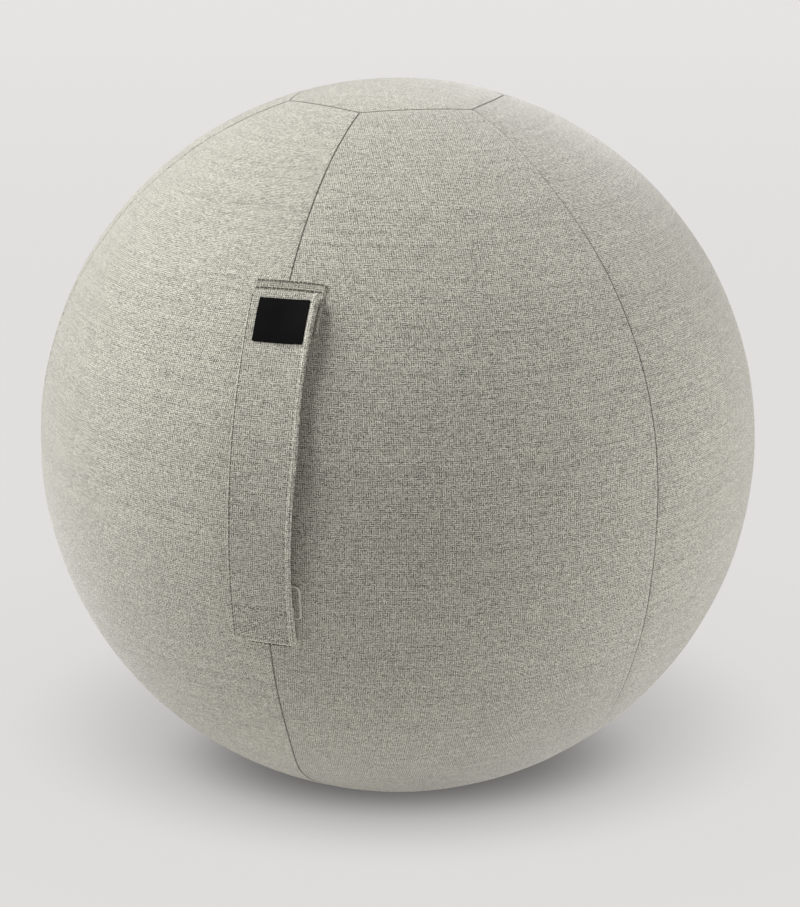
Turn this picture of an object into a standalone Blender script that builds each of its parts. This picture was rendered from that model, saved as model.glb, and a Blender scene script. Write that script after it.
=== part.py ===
"""Upholstered sitting ball: an inflated inner ball in a sewn cover with a strap handle and a zip.

Metres, +Z up. The origin is the middle of the flat patch that the ball rests on. The handle's seam
faces -Y and the zip's seam faces +Y. Places on the ball are given by their colatitude, the angle
from the top, and their azimuth, the angle from -Y towards +X.
"""

import math

import bmesh
import bpy
import numpy as np
from mathutils import Matrix, Vector
from mathutils.bvhtree import BVHTree

# Clearances
FIT_GAP = 0.0003
SLIDER_GAP = 0.0004

# Ball and cover
BALL_RADIUS = 0.325
CONTACT_RADIUS = 0.055
PANELS = 6
COVER_THICKNESS = 0.0024
CAP_CORNER_ARC = 0.097
CAP_SEAM_BOW = 0.0045
SEAM_ROLL = 0.008
SEAM_DIP = 0.001

# Inner ball and its valve
INNER_BALL_GAP = 0.0004
INNER_BALL_WALL = 0.001
VALVE_BORE_RADIUS = 0.005
VALVE_BOSS_RADIUS = 0.011
VALVE_BOSS_DEPTH = 0.006
PLUG_HEAD_RADIUS = 0.008
PLUG_HEAD_THICKNESS = 0.0012
PLUG_STEM_LENGTH = 0.016
PLUG_STEM_TAPER = 0.0008

# Zip, with its heights measured from the cover's outer face
ZIP_LENGTH = 0.386
ZIP_END_ARC = 0.170
ZIP_TAPE_REACH = 0.008
ZIP_TAPE_THICKNESS = 0.0006
ZIP_TAPE_TOP = -0.0009
ZIP_COIL_WIDTH = 0.0021
ZIP_COIL_HEIGHT = 0.0016
ZIP_NECK_WIDTH = 0.0008
ZIP_STOP_LENGTH = 0.003
SLOT_END_GAP = 0.0015
SLIDER_LENGTH = 0.012
SLIDER_LIP_WIDTH = 0.0011
SLIDER_TOP_PLATE = 0.001
SLIDER_BOTTOM_PLATE = 0.0006
BRIDGE_WIDTH = 0.002
BRIDGE_BAR = 0.0014
PULL_LENGTH = 0.026
PULL_WIDTH = 0.0076
PULL_THICKNESS = 0.0014
PULL_ARM_WIDTH = 0.0012

# Handle, with its places measured over the ball from the top centre
HANDLE_TOP_ARC = 0.304
STRAP_LENGTH = 0.282
STRAP_WIDTH = 0.055
STRAP_THICKNESS = 0.0028
STRAP_OFFSET = 0.003
STRAP_BOW = 0.0045
STRAP_EDGE_ROUND = 0.0009
UPPER_SEWN_LENGTH = 0.042
LOWER_SEWN_LENGTH = 0.027
GRIP_LENGTH = 0.090
PATCH_WIDTH = 0.058
PATCH_THICKNESS = 0.0016
PATCH_CORNER = 0.008
UPPER_PATCH_LENGTH = 0.040
UPPER_PATCH_SHOWS = 0.0085
LOWER_PATCH_LENGTH = 0.048
LOWER_PATCH_HIDDEN = 0.004
LOWER_PATCH_SHIFT = 0.002
LABEL_WIDTH = 0.042
LABEL_LENGTH = 0.036
LABEL_THICKNESS = 0.0008
LABEL_TOP_MARGIN = 0.0065

# Counts of mesh rows and columns
PANEL_CELLS = 8
INNER_CELLS = 4
LATITUDE_ROWS = 15
ZIP_ROWS = 28
STRAP_ROW_STEP = 0.014
TURNED_SIDES = 20

# Places worked out from the sizes above
PANEL_ANGLE = 2 * math.pi / PANELS
CENTRE_Z = math.sqrt(BALL_RADIUS**2 - CONTACT_RADIUS**2)
FOOT_COLAT = math.pi - math.asin(CONTACT_RADIUS / BALL_RADIUS)
COVER_INNER_RADIUS = BALL_RADIUS - COVER_THICKNESS
INNER_BALL_RADIUS = COVER_INNER_RADIUS - INNER_BALL_GAP
CAP_CORNER = CAP_CORNER_ARC / BALL_RADIUS
LATITUDES = np.linspace(
    CAP_CORNER + 2 * SEAM_ROLL / BALL_RADIUS,
    math.pi - CAP_CORNER - 2 * SEAM_ROLL / BALL_RADIUS,
    LATITUDE_ROWS,
)
ZIP_BOTTOM = math.pi - ZIP_END_ARC / BALL_RADIUS
ZIP_TOP = ZIP_BOTTOM - ZIP_LENGTH / BALL_RADIUS
ZIP_STOP_ANGLE = ZIP_STOP_LENGTH / BALL_RADIUS
ZIP_GAP_ANGLE = FIT_GAP / BALL_RADIUS
SLIDER_HALF_ANGLE = SLIDER_LENGTH / BALL_RADIUS / 2
SLIDER_COLAT = ZIP_BOTTOM - ZIP_STOP_ANGLE - SLIDER_GAP / BALL_RADIUS - SLIDER_HALF_ANGLE
SLOT_TOP = ZIP_TOP - SLOT_END_GAP / BALL_RADIUS
SLOT_BOTTOM = ZIP_BOTTOM + SLOT_END_GAP / BALL_RADIUS
SLOT_HALF_WIDTH = ZIP_TAPE_REACH + 2 * FIT_GAP
COIL_INNER = ZIP_NECK_WIDTH / 2 + SLIDER_GAP
COIL_OUTER = COIL_INNER + ZIP_COIL_WIDTH
COIL_BOTTOM = ZIP_TAPE_TOP + FIT_GAP
COIL_TOP = COIL_BOTTOM + ZIP_COIL_HEIGHT
TAPE_INNER = COIL_INNER + SLIDER_GAP
TAPE_BOTTOM = ZIP_TAPE_TOP - ZIP_TAPE_THICKNESS
SLIDER_PLATE_TOP = COIL_TOP + FIT_GAP + SLIDER_TOP_PLATE
BAR_HEIGHT = SLIDER_PLATE_TOP + BRIDGE_BAR
BRIDGE_RISE = 2 * BRIDGE_BAR
PATCH_TOP = FIT_GAP + PATCH_THICKNESS
SEWN_UNDER = PATCH_TOP + FIT_GAP
SEWN_TOP = SEWN_UNDER + 2 * STRAP_THICKNESS
FREE_START = UPPER_SEWN_LENGTH
FREE_END = STRAP_LENGTH - LOWER_SEWN_LENGTH
GRIP_START = (FREE_START + FREE_END - GRIP_LENGTH) / 2
GRIP_END = GRIP_START + GRIP_LENGTH


def finish(name, colour, roughness, metallic=0.0):
    """A Principled BSDF material of one colour."""
    material = bpy.data.materials.new(name)
    material.use_nodes = True
    shader = material.node_tree.nodes["Principled BSDF"]
    shader.inputs["Base Color"].default_value = (*colour, 1.0)
    shader.inputs["Roughness"].default_value = roughness
    shader.inputs["Metallic"].default_value = metallic
    return material


def add_object(name, points, faces, material, origin=(0.0, 0.0, 0.0), sharp=30.0):
    """A mesh object with its faces pointing out and its own origin."""
    origin = np.asarray(origin, dtype=float)
    mesh = bpy.data.meshes.new(name)
    mesh.from_pydata((np.asarray(points) - origin).tolist(), [], faces)
    work = bmesh.new()
    work.from_mesh(mesh)
    bmesh.ops.recalc_face_normals(work, faces=work.faces)
    work.to_mesh(mesh)
    work.free()
    mesh.shade_smooth()
    mesh.set_sharp_from_angle(angle=math.radians(sharp))
    thing = bpy.data.objects.new(name, mesh)
    thing.location = origin
    if material is not None:
        mesh.materials.append(material)
    bpy.context.scene.collection.objects.link(thing)
    return thing


def combine(target, tool, operation):
    """Leaves a Boolean on the target, with the tool kept as a hidden wire guide."""
    modifier = target.modifiers.new(tool.name, "BOOLEAN")
    modifier.operation = operation
    modifier.solver = "EXACT"
    modifier.object = tool
    tool.hide_render = True
    tool.display_type = "WIRE"


def on_ball(colat, azimuth, radius):
    """Points at a distance from the ball's centre."""
    colat, azimuth, radius = np.broadcast_arrays(colat, azimuth, radius)
    return np.stack(
        [
            radius * np.sin(colat) * np.sin(azimuth),
            -radius * np.sin(colat) * np.cos(azimuth),
            CENTRE_Z + radius * np.cos(colat),
        ],
        axis=-1,
    )


def quads(rows, columns, start=0, wrap=False):
    """Faces of a grid of points, row by row, whose columns may close into a ring."""
    last = columns if wrap else columns - 1
    found = []
    for row in range(rows - 1):
        for column in range(last):
            after = (column + 1) % columns
            here = start + row * columns
            below = here + columns
            found.append((here + column, below + column, below + after, here + after))
    return found


def ribbon(first, second):
    """Faces between two closed loops of point numbers."""
    count = len(first)
    return [
        (first[k], first[(k + 1) % count], second[(k + 1) % count], second[k]) for k in range(count)
    ]


def panel_shell(name, outer, inner, material):
    """A sheet with a thickness, from the grids of its outer and inner face."""
    rows, columns = outer.shape[:2]
    size = rows * columns
    border = list(range(columns))
    border += [row * columns + columns - 1 for row in range(1, rows)]
    border += [size - 1 - column for column in range(1, columns)]
    border += [row * columns for row in range(rows - 2, 0, -1)]
    faces = quads(rows, columns) + quads(rows, columns, size)
    faces += ribbon(border, [size + corner for corner in border])
    points = np.concatenate([outer.reshape(-1, 3), inner.reshape(-1, 3)])
    return add_object(name, points, faces, material)


def dome_faces(rings, columns, start, closed_by_point):
    """Faces of rings of points, from the outermost ring to the middle."""
    faces = quads(rings, columns, start, wrap=True)
    last = [start + (rings - 1) * columns + column for column in range(columns)]
    if not closed_by_point:
        return faces + [tuple(last)]
    middle = start + rings * columns
    return faces + [(last[k], last[(k + 1) % columns], middle) for k in range(columns)]


def meridian_sweep(name, colats, sections, side, material, origin=(0.0, 0.0, 0.0)):
    """A bar along the front (side -1) or rear (side 1) seam.

    Each section is a closed outline of (x, height over the ball's face) at its colatitude.
    """
    colats = np.asarray(colats)[:, None]
    sections = np.asarray(sections)
    radius = BALL_RADIUS + sections[..., 1]
    points = np.stack(
        [
            sections[..., 0],
            side * radius * np.sin(colats),
            CENTRE_Z + radius * np.cos(colats),
        ],
        axis=-1,
    )
    rows, columns = points.shape[:2]
    first = tuple(range(columns))
    last = tuple((rows - 1) * columns + column for column in range(columns))
    faces = quads(rows, columns, wrap=True) + [first, last]
    return add_object(name, points.reshape(-1, 3), faces, material, origin)


def cap_edge(azimuth):
    """Angle from the pole to the cap's seam: a straight side on the ball, bowed out at its middle."""
    across = np.mod(azimuth, PANEL_ANGLE) - PANEL_ANGLE / 2
    middle = math.tan(CAP_CORNER) * math.cos(PANEL_ANGLE / 2)
    straight = np.arctan(middle / np.cos(across))
    bow = CAP_SEAM_BOW / BALL_RADIUS
    return straight + bow * (1 - (2 * across / PANEL_ANGLE) ** 2)


def side_panel(number, material):
    """One of the panels between two seams, with its edges drawn in and a slot where the zip is."""
    first_seam = (number - 1) * PANEL_ANGLE
    zip_seam = PANELS // 2
    sharp_end = FIT_GAP / BALL_RADIUS
    corner = [CAP_CORNER, CAP_CORNER]
    rows = np.concatenate([corner, LATITUDES, math.pi - np.array(corner)])
    if number in (zip_seam, zip_seam + 1):
        slot_ends = [SLOT_TOP - sharp_end, SLOT_TOP, SLOT_BOTTOM, SLOT_BOTTOM + sharp_end]
        rows = np.sort(np.concatenate([rows, slot_ends]))
    in_slot = (rows >= SLOT_TOP) & (rows <= SLOT_BOTTOM)
    slot_edge = np.where(in_slot, SLOT_HALF_WIDTH, FIT_GAP / 2)
    near = slot_edge if number == zip_seam + 1 else np.full(len(rows), FIT_GAP / 2)
    far = slot_edge if number == zip_seam else np.full(len(rows), FIT_GAP / 2)

    girth = BALL_RADIUS * np.sin(rows)
    inside = np.tile(np.arange(1, PANEL_CELLS) * PANEL_ANGLE / PANEL_CELLS, (len(rows), 1))
    across = np.column_stack(
        [
            np.arcsin(near / girth),
            np.arcsin((near + SEAM_ROLL) / girth),
            inside,
            PANEL_ANGLE - np.arcsin((far + SEAM_ROLL) / girth),
            PANEL_ANGLE - np.arcsin(far / girth),
        ]
    )
    azimuth = first_seam + across
    colat = np.repeat(rows[:, None], azimuth.shape[1], axis=1)
    for row, distance in enumerate([FIT_GAP / 2, FIT_GAP / 2 + SEAM_ROLL]):
        margin = distance / BALL_RADIUS
        colat[row] = cap_edge(azimuth[row]) + margin
        colat[-1 - row] = math.pi - cap_edge(azimuth[-1 - row]) - margin

    radius = np.full(colat.shape, BALL_RADIUS)
    radius[[0, -1], :] -= SEAM_DIP
    radius[1:-1, [0, -1]] -= SEAM_DIP
    outer = on_ball(colat, azimuth, radius)
    inner = on_ball(colat, azimuth, COVER_INNER_RADIUS)
    return panel_shell(f"side_panel_{number}", outer, inner, material)


def cap_rings():
    """Azimuths round a cap, and its rings' angles from the pole, from its seam inwards."""
    azimuth = np.arange(PANELS * PANEL_CELLS) * PANEL_ANGLE / PANEL_CELLS
    edge = cap_edge(azimuth)
    seam = edge - FIT_GAP / 2 / BALL_RADIUS
    roll = seam - SEAM_ROLL / BALL_RADIUS
    return azimuth, edge, seam, roll


def cap_panel(name, at_foot, material):
    """The six-sided panel at the top, or the one at the foot with its flat patch."""
    azimuth, edge, seam, roll = cap_rings()
    middle = np.full(len(azimuth), math.pi - FOOT_COLAT) if at_foot else edge / 2
    angles = np.array([seam, roll, middle])
    columns = len(azimuth)
    dips = np.array([[SEAM_DIP], [0.0], [0.0]])
    sheets = []
    for radius in (BALL_RADIUS - dips, np.full((3, 1), COVER_INNER_RADIUS)):
        colat = math.pi - angles if at_foot else angles
        rings = on_ball(colat, azimuth[None, :], radius).reshape(-1, 3)
        pole = [[0.0, 0.0, CENTRE_Z + radius[-1, 0]]]
        sheets.append(rings if at_foot else np.concatenate([rings, pole]))
    start = len(sheets[0])
    faces = dome_faces(3, columns, 0, not at_foot) + dome_faces(3, columns, start, not at_foot)
    rim = list(range(columns))
    faces += ribbon(rim, [start + corner for corner in rim])
    return add_object(name, np.concatenate(sheets), faces, material)


def whole_ball(name, radius, material):
    """A closed ball on the cover's own rows, with every second column, flat at its foot."""
    azimuth = np.arange(PANELS * INNER_CELLS) * PANEL_ANGLE / INNER_CELLS
    edge = cap_edge(azimuth)
    level = np.ones(len(azimuth))
    angles = [edge / 2, edge]
    angles += [latitude * level for latitude in LATITUDES]
    angles += [math.pi - edge, FOOT_COLAT * level]
    rings = on_ball(np.array(angles), azimuth[None, :], radius).reshape(-1, 3)
    columns = len(azimuth)
    points = np.concatenate([rings, [[0.0, 0.0, CENTRE_Z + radius]]])
    faces = dome_faces(len(angles), columns, 0, False)
    faces += [(k, (k + 1) % columns, len(points) - 1) for k in range(columns)]
    return add_object(name, points, faces, material)


def turned(name, profile, place, material):
    """A solid turned about the local Z axis of a place, from (radius, height) points top to bottom."""
    angles = np.arange(TURNED_SIDES) * 2 * math.pi / TURNED_SIDES
    profile = np.asarray(profile)
    rings = np.stack(
        [
            profile[:, :1] * np.cos(angles),
            profile[:, :1] * np.sin(angles),
            np.repeat(profile[:, 1:], TURNED_SIDES, axis=1),
        ],
        axis=-1,
    ).reshape(-1, 3)
    first = tuple(range(TURNED_SIDES))
    last = tuple(len(rings) - TURNED_SIDES + side for side in range(TURNED_SIDES))
    faces = quads(len(profile), TURNED_SIDES, wrap=True) + [first, last]
    thing = add_object(name, rings, faces, material)
    thing.matrix_world = place
    return thing


def inner_ball(ball_material, plug_material):
    """The inflated ball with its valve boss and bore, and the plug in it."""
    ball = whole_ball("inner_ball", INNER_BALL_RADIUS, ball_material)
    hollow = whole_ball("inner_ball_hollow", INNER_BALL_RADIUS - INNER_BALL_WALL, None)
    middle_row = int(np.searchsorted(LATITUDES, (ZIP_TOP + ZIP_BOTTOM) / 2))
    colat = (LATITUDES[middle_row - 1] + LATITUDES[middle_row]) / 2
    azimuth = math.pi + PANEL_ANGLE / INNER_CELLS / 2
    outwards = on_ball(colat, azimuth, 1.0) - np.array([0.0, 0.0, CENTRE_Z])

    work = bmesh.new()
    work.from_mesh(ball.data)
    seat, normal, _, _ = BVHTree.FromBMesh(work).ray_cast(
        Vector((0.0, 0.0, CENTRE_Z)), Vector(outwards)
    )
    work.free()
    turn = normal.to_track_quat("Z", "Y").to_matrix().to_4x4()
    place = Matrix.Translation(seat) @ turn

    bore_radius = VALVE_BORE_RADIUS
    boss_end = -INNER_BALL_WALL - VALVE_BOSS_DEPTH
    past = VALVE_BOSS_DEPTH / 2
    boss = turned(
        "valve_boss_guide",
        [(VALVE_BOSS_RADIUS, past), (VALVE_BOSS_RADIUS, boss_end)],
        place,
        None,
    )
    bore = turned(
        "valve_bore_guide",
        [(bore_radius, past), (bore_radius, boss_end - past)],
        place,
        None,
    )
    combine(hollow, boss, "DIFFERENCE")
    combine(ball, hollow, "DIFFERENCE")
    combine(ball, bore, "DIFFERENCE")

    stem = bore_radius - FIT_GAP
    head_top = FIT_GAP + PLUG_HEAD_THICKNESS
    profile = [
        (PLUG_HEAD_RADIUS, head_top),
        (PLUG_HEAD_RADIUS, FIT_GAP),
        (stem, FIT_GAP),
        (stem - PLUG_STEM_TAPER, FIT_GAP - PLUG_STEM_LENGTH),
    ]
    turned("air_plug", profile, place, plug_material)


def box_outline(left, right, bottom, top):
    """A rectangle's corners, in order."""
    return [(left, bottom), (right, bottom), (right, top), (left, top)]


def zip_chain(tape_material, coil_material):
    """The two tapes, the coil along each, and the stops at both ends."""
    tape_rows = np.linspace(ZIP_TOP, ZIP_BOTTOM, ZIP_ROWS)
    coil_margin = ZIP_STOP_ANGLE + ZIP_GAP_ANGLE
    coil_rows = np.linspace(ZIP_TOP + coil_margin, ZIP_BOTTOM - coil_margin, ZIP_ROWS)
    middle = (COIL_INNER + COIL_OUTER) / 2
    quarter = (COIL_OUTER - COIL_INNER) / 4
    shoulder = COIL_TOP - quarter
    for side, hand in (("left", 1), ("right", -1)):
        tape = box_outline(TAPE_INNER, ZIP_TAPE_REACH, TAPE_BOTTOM, ZIP_TAPE_TOP)
        coil = [
            (COIL_INNER, COIL_BOTTOM),
            (COIL_OUTER, COIL_BOTTOM),
            (COIL_OUTER, shoulder),
            (middle + quarter, COIL_TOP),
            (middle - quarter, COIL_TOP),
            (COIL_INNER, shoulder),
        ]
        for name, outline, rows, material in (
            (f"zip_tape_{side}", tape, tape_rows, tape_material),
            (f"zip_coil_{side}", coil, coil_rows, coil_material),
        ):
            section = [(hand * x, height) for x, height in outline]
            meridian_sweep(name, rows, [section] * len(rows), 1, material)
    block = box_outline(-COIL_OUTER, COIL_OUTER, COIL_BOTTOM, COIL_TOP)
    for name, start in (
        ("zip_stop_top", ZIP_TOP),
        ("zip_stop_bottom", ZIP_BOTTOM - ZIP_STOP_ANGLE),
    ):
        ends = [start, start + ZIP_STOP_ANGLE]
        meridian_sweep(name, ends, [block, block], 1, coil_material)


def slider_points(along, height, x):
    """Points of the slider's own frame: along the zip upwards, height over the ball's face, and x."""
    middle = (BALL_RADIUS + height) * math.sin(SLIDER_COLAT) - along * math.cos(SLIDER_COLAT)
    rise = (BALL_RADIUS + height) * math.cos(SLIDER_COLAT) + along * math.sin(SLIDER_COLAT)
    return np.stack([x, middle, CENTRE_Z + rise], axis=-1)


def bridge_half_length():
    """Half the outer length of the slider's bridge."""
    return SLIDER_LENGTH / 2 - BRIDGE_BAR


def zip_slider(material):
    """The slider: two plates round the chain, a neck between the coils and a bridge for the pull."""
    lip_inner = COIL_OUTER + SLIDER_GAP
    wide = lip_inner + SLIDER_LIP_WIDTH
    neck = ZIP_NECK_WIDTH / 2
    roof = COIL_TOP + FIT_GAP
    lip = ZIP_TAPE_TOP + FIT_GAP
    floor = TAPE_BOTTOM - FIT_GAP
    right = [
        (wide, SLIDER_PLATE_TOP),
        (wide, lip),
        (lip_inner, lip),
        (lip_inner, roof),
        (neck, roof),
        (neck, floor),
        (wide, floor),
        (wide, floor - SLIDER_BOTTOM_PLATE),
    ]
    section = right + [(-x, height) for x, height in reversed(right)]
    rows = SLIDER_COLAT + SLIDER_HALF_ANGLE * np.array([-1.0, 0.0, 1.0])
    centre = (0.0, 0.0, CENTRE_Z)
    slider = meridian_sweep("zip_slider", rows, [section] * 3, 1, material, centre)

    turn = np.linspace(0.0, math.pi, 9)
    reach = bridge_half_length()
    foot = SLIDER_PLATE_TOP - SLIDER_TOP_PLATE / 3
    opening = SLIDER_PLATE_TOP + BRIDGE_RISE - foot
    along = np.concatenate([reach * np.cos(turn), (reach - BRIDGE_BAR) * np.cos(turn[::-1])])
    height = np.concatenate([(opening + BRIDGE_BAR) * np.sin(turn), opening * np.sin(turn[::-1])])
    faces_at = [
        slider_points(along, foot + height, np.full(len(along), side * BRIDGE_WIDTH / 2))
        for side in (-1, 1)
    ]
    count = len(along)
    rim = list(range(count))
    faces = [tuple(rim), tuple(count + k for k in rim)]
    faces += ribbon(rim, [count + k for k in rim])
    bridge = add_object("zip_bridge_guide", np.concatenate(faces_at), faces, None)
    combine(slider, bridge, "UNION")


def zip_pull(material):
    """The pull hanging from its cross bar under the slider's bridge."""
    axis = slider_points(np.zeros(1), np.full(1, BAR_HEIGHT), np.zeros(1))[0]
    half_bar = BRIDGE_BAR / 2
    window_half = BRIDGE_WIDTH / 2 + SLIDER_GAP
    arms = window_half + PULL_ARM_WIDTH
    swing = math.hypot(bridge_half_length(), BAR_HEIGHT - SLIDER_PLATE_TOP)
    window_end = swing + SLIDER_GAP
    round_radius = PULL_WIDTH / 2
    turn = np.linspace(0.0, math.pi, 7)
    outline_x = np.concatenate([[-arms, -arms], -round_radius * np.cos(turn), [arms, arms]])
    tip = PULL_LENGTH - round_radius + round_radius * np.sin(turn)
    outline_z = np.concatenate([[-half_bar, window_end / 2], tip, [window_end / 2, -half_bar]])

    def slab(name, x, drop, thickness, finish_used):
        count = len(x)
        sides = [
            np.stack([x, np.full(count, side * thickness / 2), -np.asarray(drop)], axis=-1)
            for side in (-1, 1)
        ]
        rim = list(range(count))
        faces = [tuple(rim), tuple(count + k for k in rim)]
        faces += ribbon(rim, [count + k for k in rim])
        thing = add_object(name, np.concatenate(sides), faces, finish_used)
        thing.location = axis
        return thing

    pull = slab("zip_pull", outline_x, outline_z, PULL_THICKNESS, material)
    window_x = np.array([-window_half, -window_half, window_half, window_half])
    window_z = np.array([half_bar, window_end, window_end, half_bar])
    window = slab("zip_pull_window", window_x, window_z, 2 * PULL_THICKNESS, None)
    combine(pull, window, "DIFFERENCE")


def strap_heights(along):
    """Height of the strap's outer face and underside over the ball, at a distance from its top edge."""
    free = np.clip((along - FREE_START) / (FREE_END - FREE_START), 0.0, 1.0)
    top = SEWN_TOP + STRAP_BOW * np.sin(math.pi * free) ** 2
    sewn = (along <= FREE_START) | (along >= FREE_END)
    under = np.where(sewn, SEWN_UNDER, top - STRAP_THICKNESS)
    return top, under


def strap_piece(name, start, end, material, origin=(0.0, 0.0, 0.0)):
    """A stretch of the strap, thick where its sewn end is folded under itself."""
    count = max(2, round((end - start) / STRAP_ROW_STEP) + 1)
    along = np.linspace(start, end, count)
    for edge, step in ((FREE_START, 1), (FREE_END, -1)):
        if start < edge < end:
            along = np.append(along, [edge, edge + step * STRAP_THICKNESS / 2])
    along = np.unique(along)
    top, under = strap_heights(along)
    half = STRAP_WIDTH / 2
    cut = STRAP_EDGE_ROUND
    sections = []
    for high, low in zip(top, under):
        right = [(half - cut, low), (half, low + cut), (half, high - cut), (half - cut, high)]
        outline = right + [(-x, height) for x, height in reversed(right)]
        sections.append([(STRAP_OFFSET + x, height) for x, height in outline])
    colats = (HANDLE_TOP_ARC + along) / BALL_RADIUS
    return meridian_sweep(name, colats, sections, -1, material, origin)


def curved_sheet(name, start, length, width, shift, corner, thickness, material):
    """A patch with round corners that lies on the ball, from a distance below the top centre."""
    turn = np.linspace(0.0, math.pi / 2, 4)
    inset = corner * (1 - np.cos(turn))
    narrow = corner * (1 - np.sin(turn))
    along = np.concatenate([inset, [length / 2], length - inset[::-1]])
    half = width / 2 - np.concatenate([narrow, [0.0], narrow[::-1]])
    share = np.linspace(-1.0, 1.0, 5)
    x = shift + half[:, None] * share
    drop = BALL_RADIUS - np.sqrt(BALL_RADIUS**2 - x**2)
    upper = np.stack([x, FIT_GAP + thickness - drop], axis=-1)
    lower = np.stack([x, FIT_GAP - drop], axis=-1)[:, ::-1]
    sections = np.concatenate([upper, lower], axis=1)
    colats = (start + along) / BALL_RADIUS
    return meridian_sweep(name, colats, sections, -1, material)


def handle(cloth, label_material):
    """The strap in three stretches, the patches under its sewn ends, and the label on it."""
    gap = FIT_GAP / 2
    grip_middle = (GRIP_START + GRIP_END) / 2
    grip_colat = (HANDLE_TOP_ARC + grip_middle) / BALL_RADIUS
    grip_radius = BALL_RADIUS + strap_heights(np.array([grip_middle]))[0][0]
    grip_origin = on_ball(grip_colat, 0.0, grip_radius)
    strap_piece("handle_upper_end", 0.0, GRIP_START - gap, cloth)
    strap_piece("handle_grip", GRIP_START + gap, GRIP_END - gap, cloth, grip_origin)
    strap_piece("handle_lower_end", GRIP_END + gap, STRAP_LENGTH, cloth)

    lower_end = HANDLE_TOP_ARC + STRAP_LENGTH - LOWER_PATCH_HIDDEN
    for name, start, length, shift in (
        ("upper_patch", HANDLE_TOP_ARC - UPPER_PATCH_SHOWS, UPPER_PATCH_LENGTH, 0.0),
        ("lower_patch", lower_end - LOWER_PATCH_LENGTH, LOWER_PATCH_LENGTH, LOWER_PATCH_SHIFT),
    ):
        place = STRAP_OFFSET + shift
        curved_sheet(name, start, length, PATCH_WIDTH, place, PATCH_CORNER, PATCH_THICKNESS, cloth)

    along = np.linspace(LABEL_TOP_MARGIN, LABEL_TOP_MARGIN + LABEL_LENGTH, 6)
    face = strap_heights(along)[0] + FIT_GAP
    half = LABEL_WIDTH / 2
    sections = [
        box_outline(STRAP_OFFSET - half, STRAP_OFFSET + half, low, low + LABEL_THICKNESS)
        for low in face
    ]
    colats = (HANDLE_TOP_ARC + along) / BALL_RADIUS
    meridian_sweep("label", colats, sections, -1, label_material)


def main():
    """Clears the scene and makes every piece."""
    for thing in list(bpy.data.objects):
        bpy.data.objects.remove(thing)
    cloth = finish("cover_cloth", (0.39, 0.37, 0.32), 0.95)
    rubber = finish("inner_ball_vinyl", (0.22, 0.23, 0.24), 0.45)
    plug = finish("plug_vinyl", (0.75, 0.75, 0.72), 0.4)
    tape = finish("zip_tape_cloth", (0.26, 0.25, 0.22), 0.9)
    coil = finish("zip_coil_nylon", (0.24, 0.23, 0.2), 0.4)
    metal = finish("zip_metal", (0.35, 0.34, 0.33), 0.35, 1.0)
    black = finish("label_black", (0.012, 0.012, 0.012), 0.4)

    for number in range(1, PANELS + 1):
        side_panel(number, cloth)
    cap_panel("top_panel", False, cloth)
    cap_panel("bottom_panel", True, cloth)
    inner_ball(rubber, plug)
    zip_chain(tape, coil)
    zip_slider(metal)
    zip_pull(metal)
    handle(cloth, black)


main()
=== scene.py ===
"""Looks of an upholstered sitting ball: sewn cloth cover, strap handle with a label, and rear zip.

Metres, +Z up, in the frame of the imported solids. Places on the ball are a colatitude, the angle from
the top, and an azimuth, the angle from -Y (the handle's seam) towards +X.
"""

import logging
import math
from dataclasses import dataclass, field
from enum import Enum
from typing import Any, Callable, Sequence

import bmesh
import bpy
import numpy as np
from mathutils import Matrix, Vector


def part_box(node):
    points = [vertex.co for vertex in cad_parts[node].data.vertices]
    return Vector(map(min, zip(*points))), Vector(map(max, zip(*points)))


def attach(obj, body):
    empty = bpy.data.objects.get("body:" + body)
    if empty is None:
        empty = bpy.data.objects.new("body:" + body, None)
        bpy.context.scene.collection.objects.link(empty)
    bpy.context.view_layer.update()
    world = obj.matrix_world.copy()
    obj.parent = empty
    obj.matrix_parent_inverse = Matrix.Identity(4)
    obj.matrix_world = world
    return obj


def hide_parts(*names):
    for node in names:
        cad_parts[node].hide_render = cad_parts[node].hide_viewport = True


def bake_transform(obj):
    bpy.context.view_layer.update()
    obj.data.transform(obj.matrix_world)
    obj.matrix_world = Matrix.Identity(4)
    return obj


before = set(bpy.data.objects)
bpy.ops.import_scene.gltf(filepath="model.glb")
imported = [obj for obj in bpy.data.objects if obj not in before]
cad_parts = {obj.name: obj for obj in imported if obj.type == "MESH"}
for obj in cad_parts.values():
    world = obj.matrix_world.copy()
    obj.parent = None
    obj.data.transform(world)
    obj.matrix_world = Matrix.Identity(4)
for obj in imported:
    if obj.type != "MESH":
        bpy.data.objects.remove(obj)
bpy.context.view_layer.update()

LOG = logging.getLogger("sitting_ball")
WEAVE_MAP = "weave"
# Point attribute: distance to the nearest seam, which sets the painted seam shade; 1 to 2 on a painted
# highlight
EDGE_ATTRIBUTE = "edge"
# Reach from a seam of the painted shade that darkens the cloth along it
PAINTED_SEAM_SHADE_REACH = 0.0014
SHARP_ANGLE = math.radians(50.0)
FULL_TURN = 2 * math.pi
TUBE_SIDES = 6
# Share of a stitch over which its direction is measured
RUN_SHARE = 0.1
# Where a piece's weave starts on the cloth, in metres, so that no two pieces look alike
CAP_CLOTH, STRAP_CLOTH, PATCH_CLOTH = 9.0, 21.0, 31.0

Array = np.ndarray
Colour = tuple[float, float, float]
Span = tuple[float, float]
Bells = Sequence[tuple[float, float, float]]
Stitches = tuple[Array, Array, Array]
Skin = Callable[..., Array]
Piece = bpy.types.Object

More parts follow.
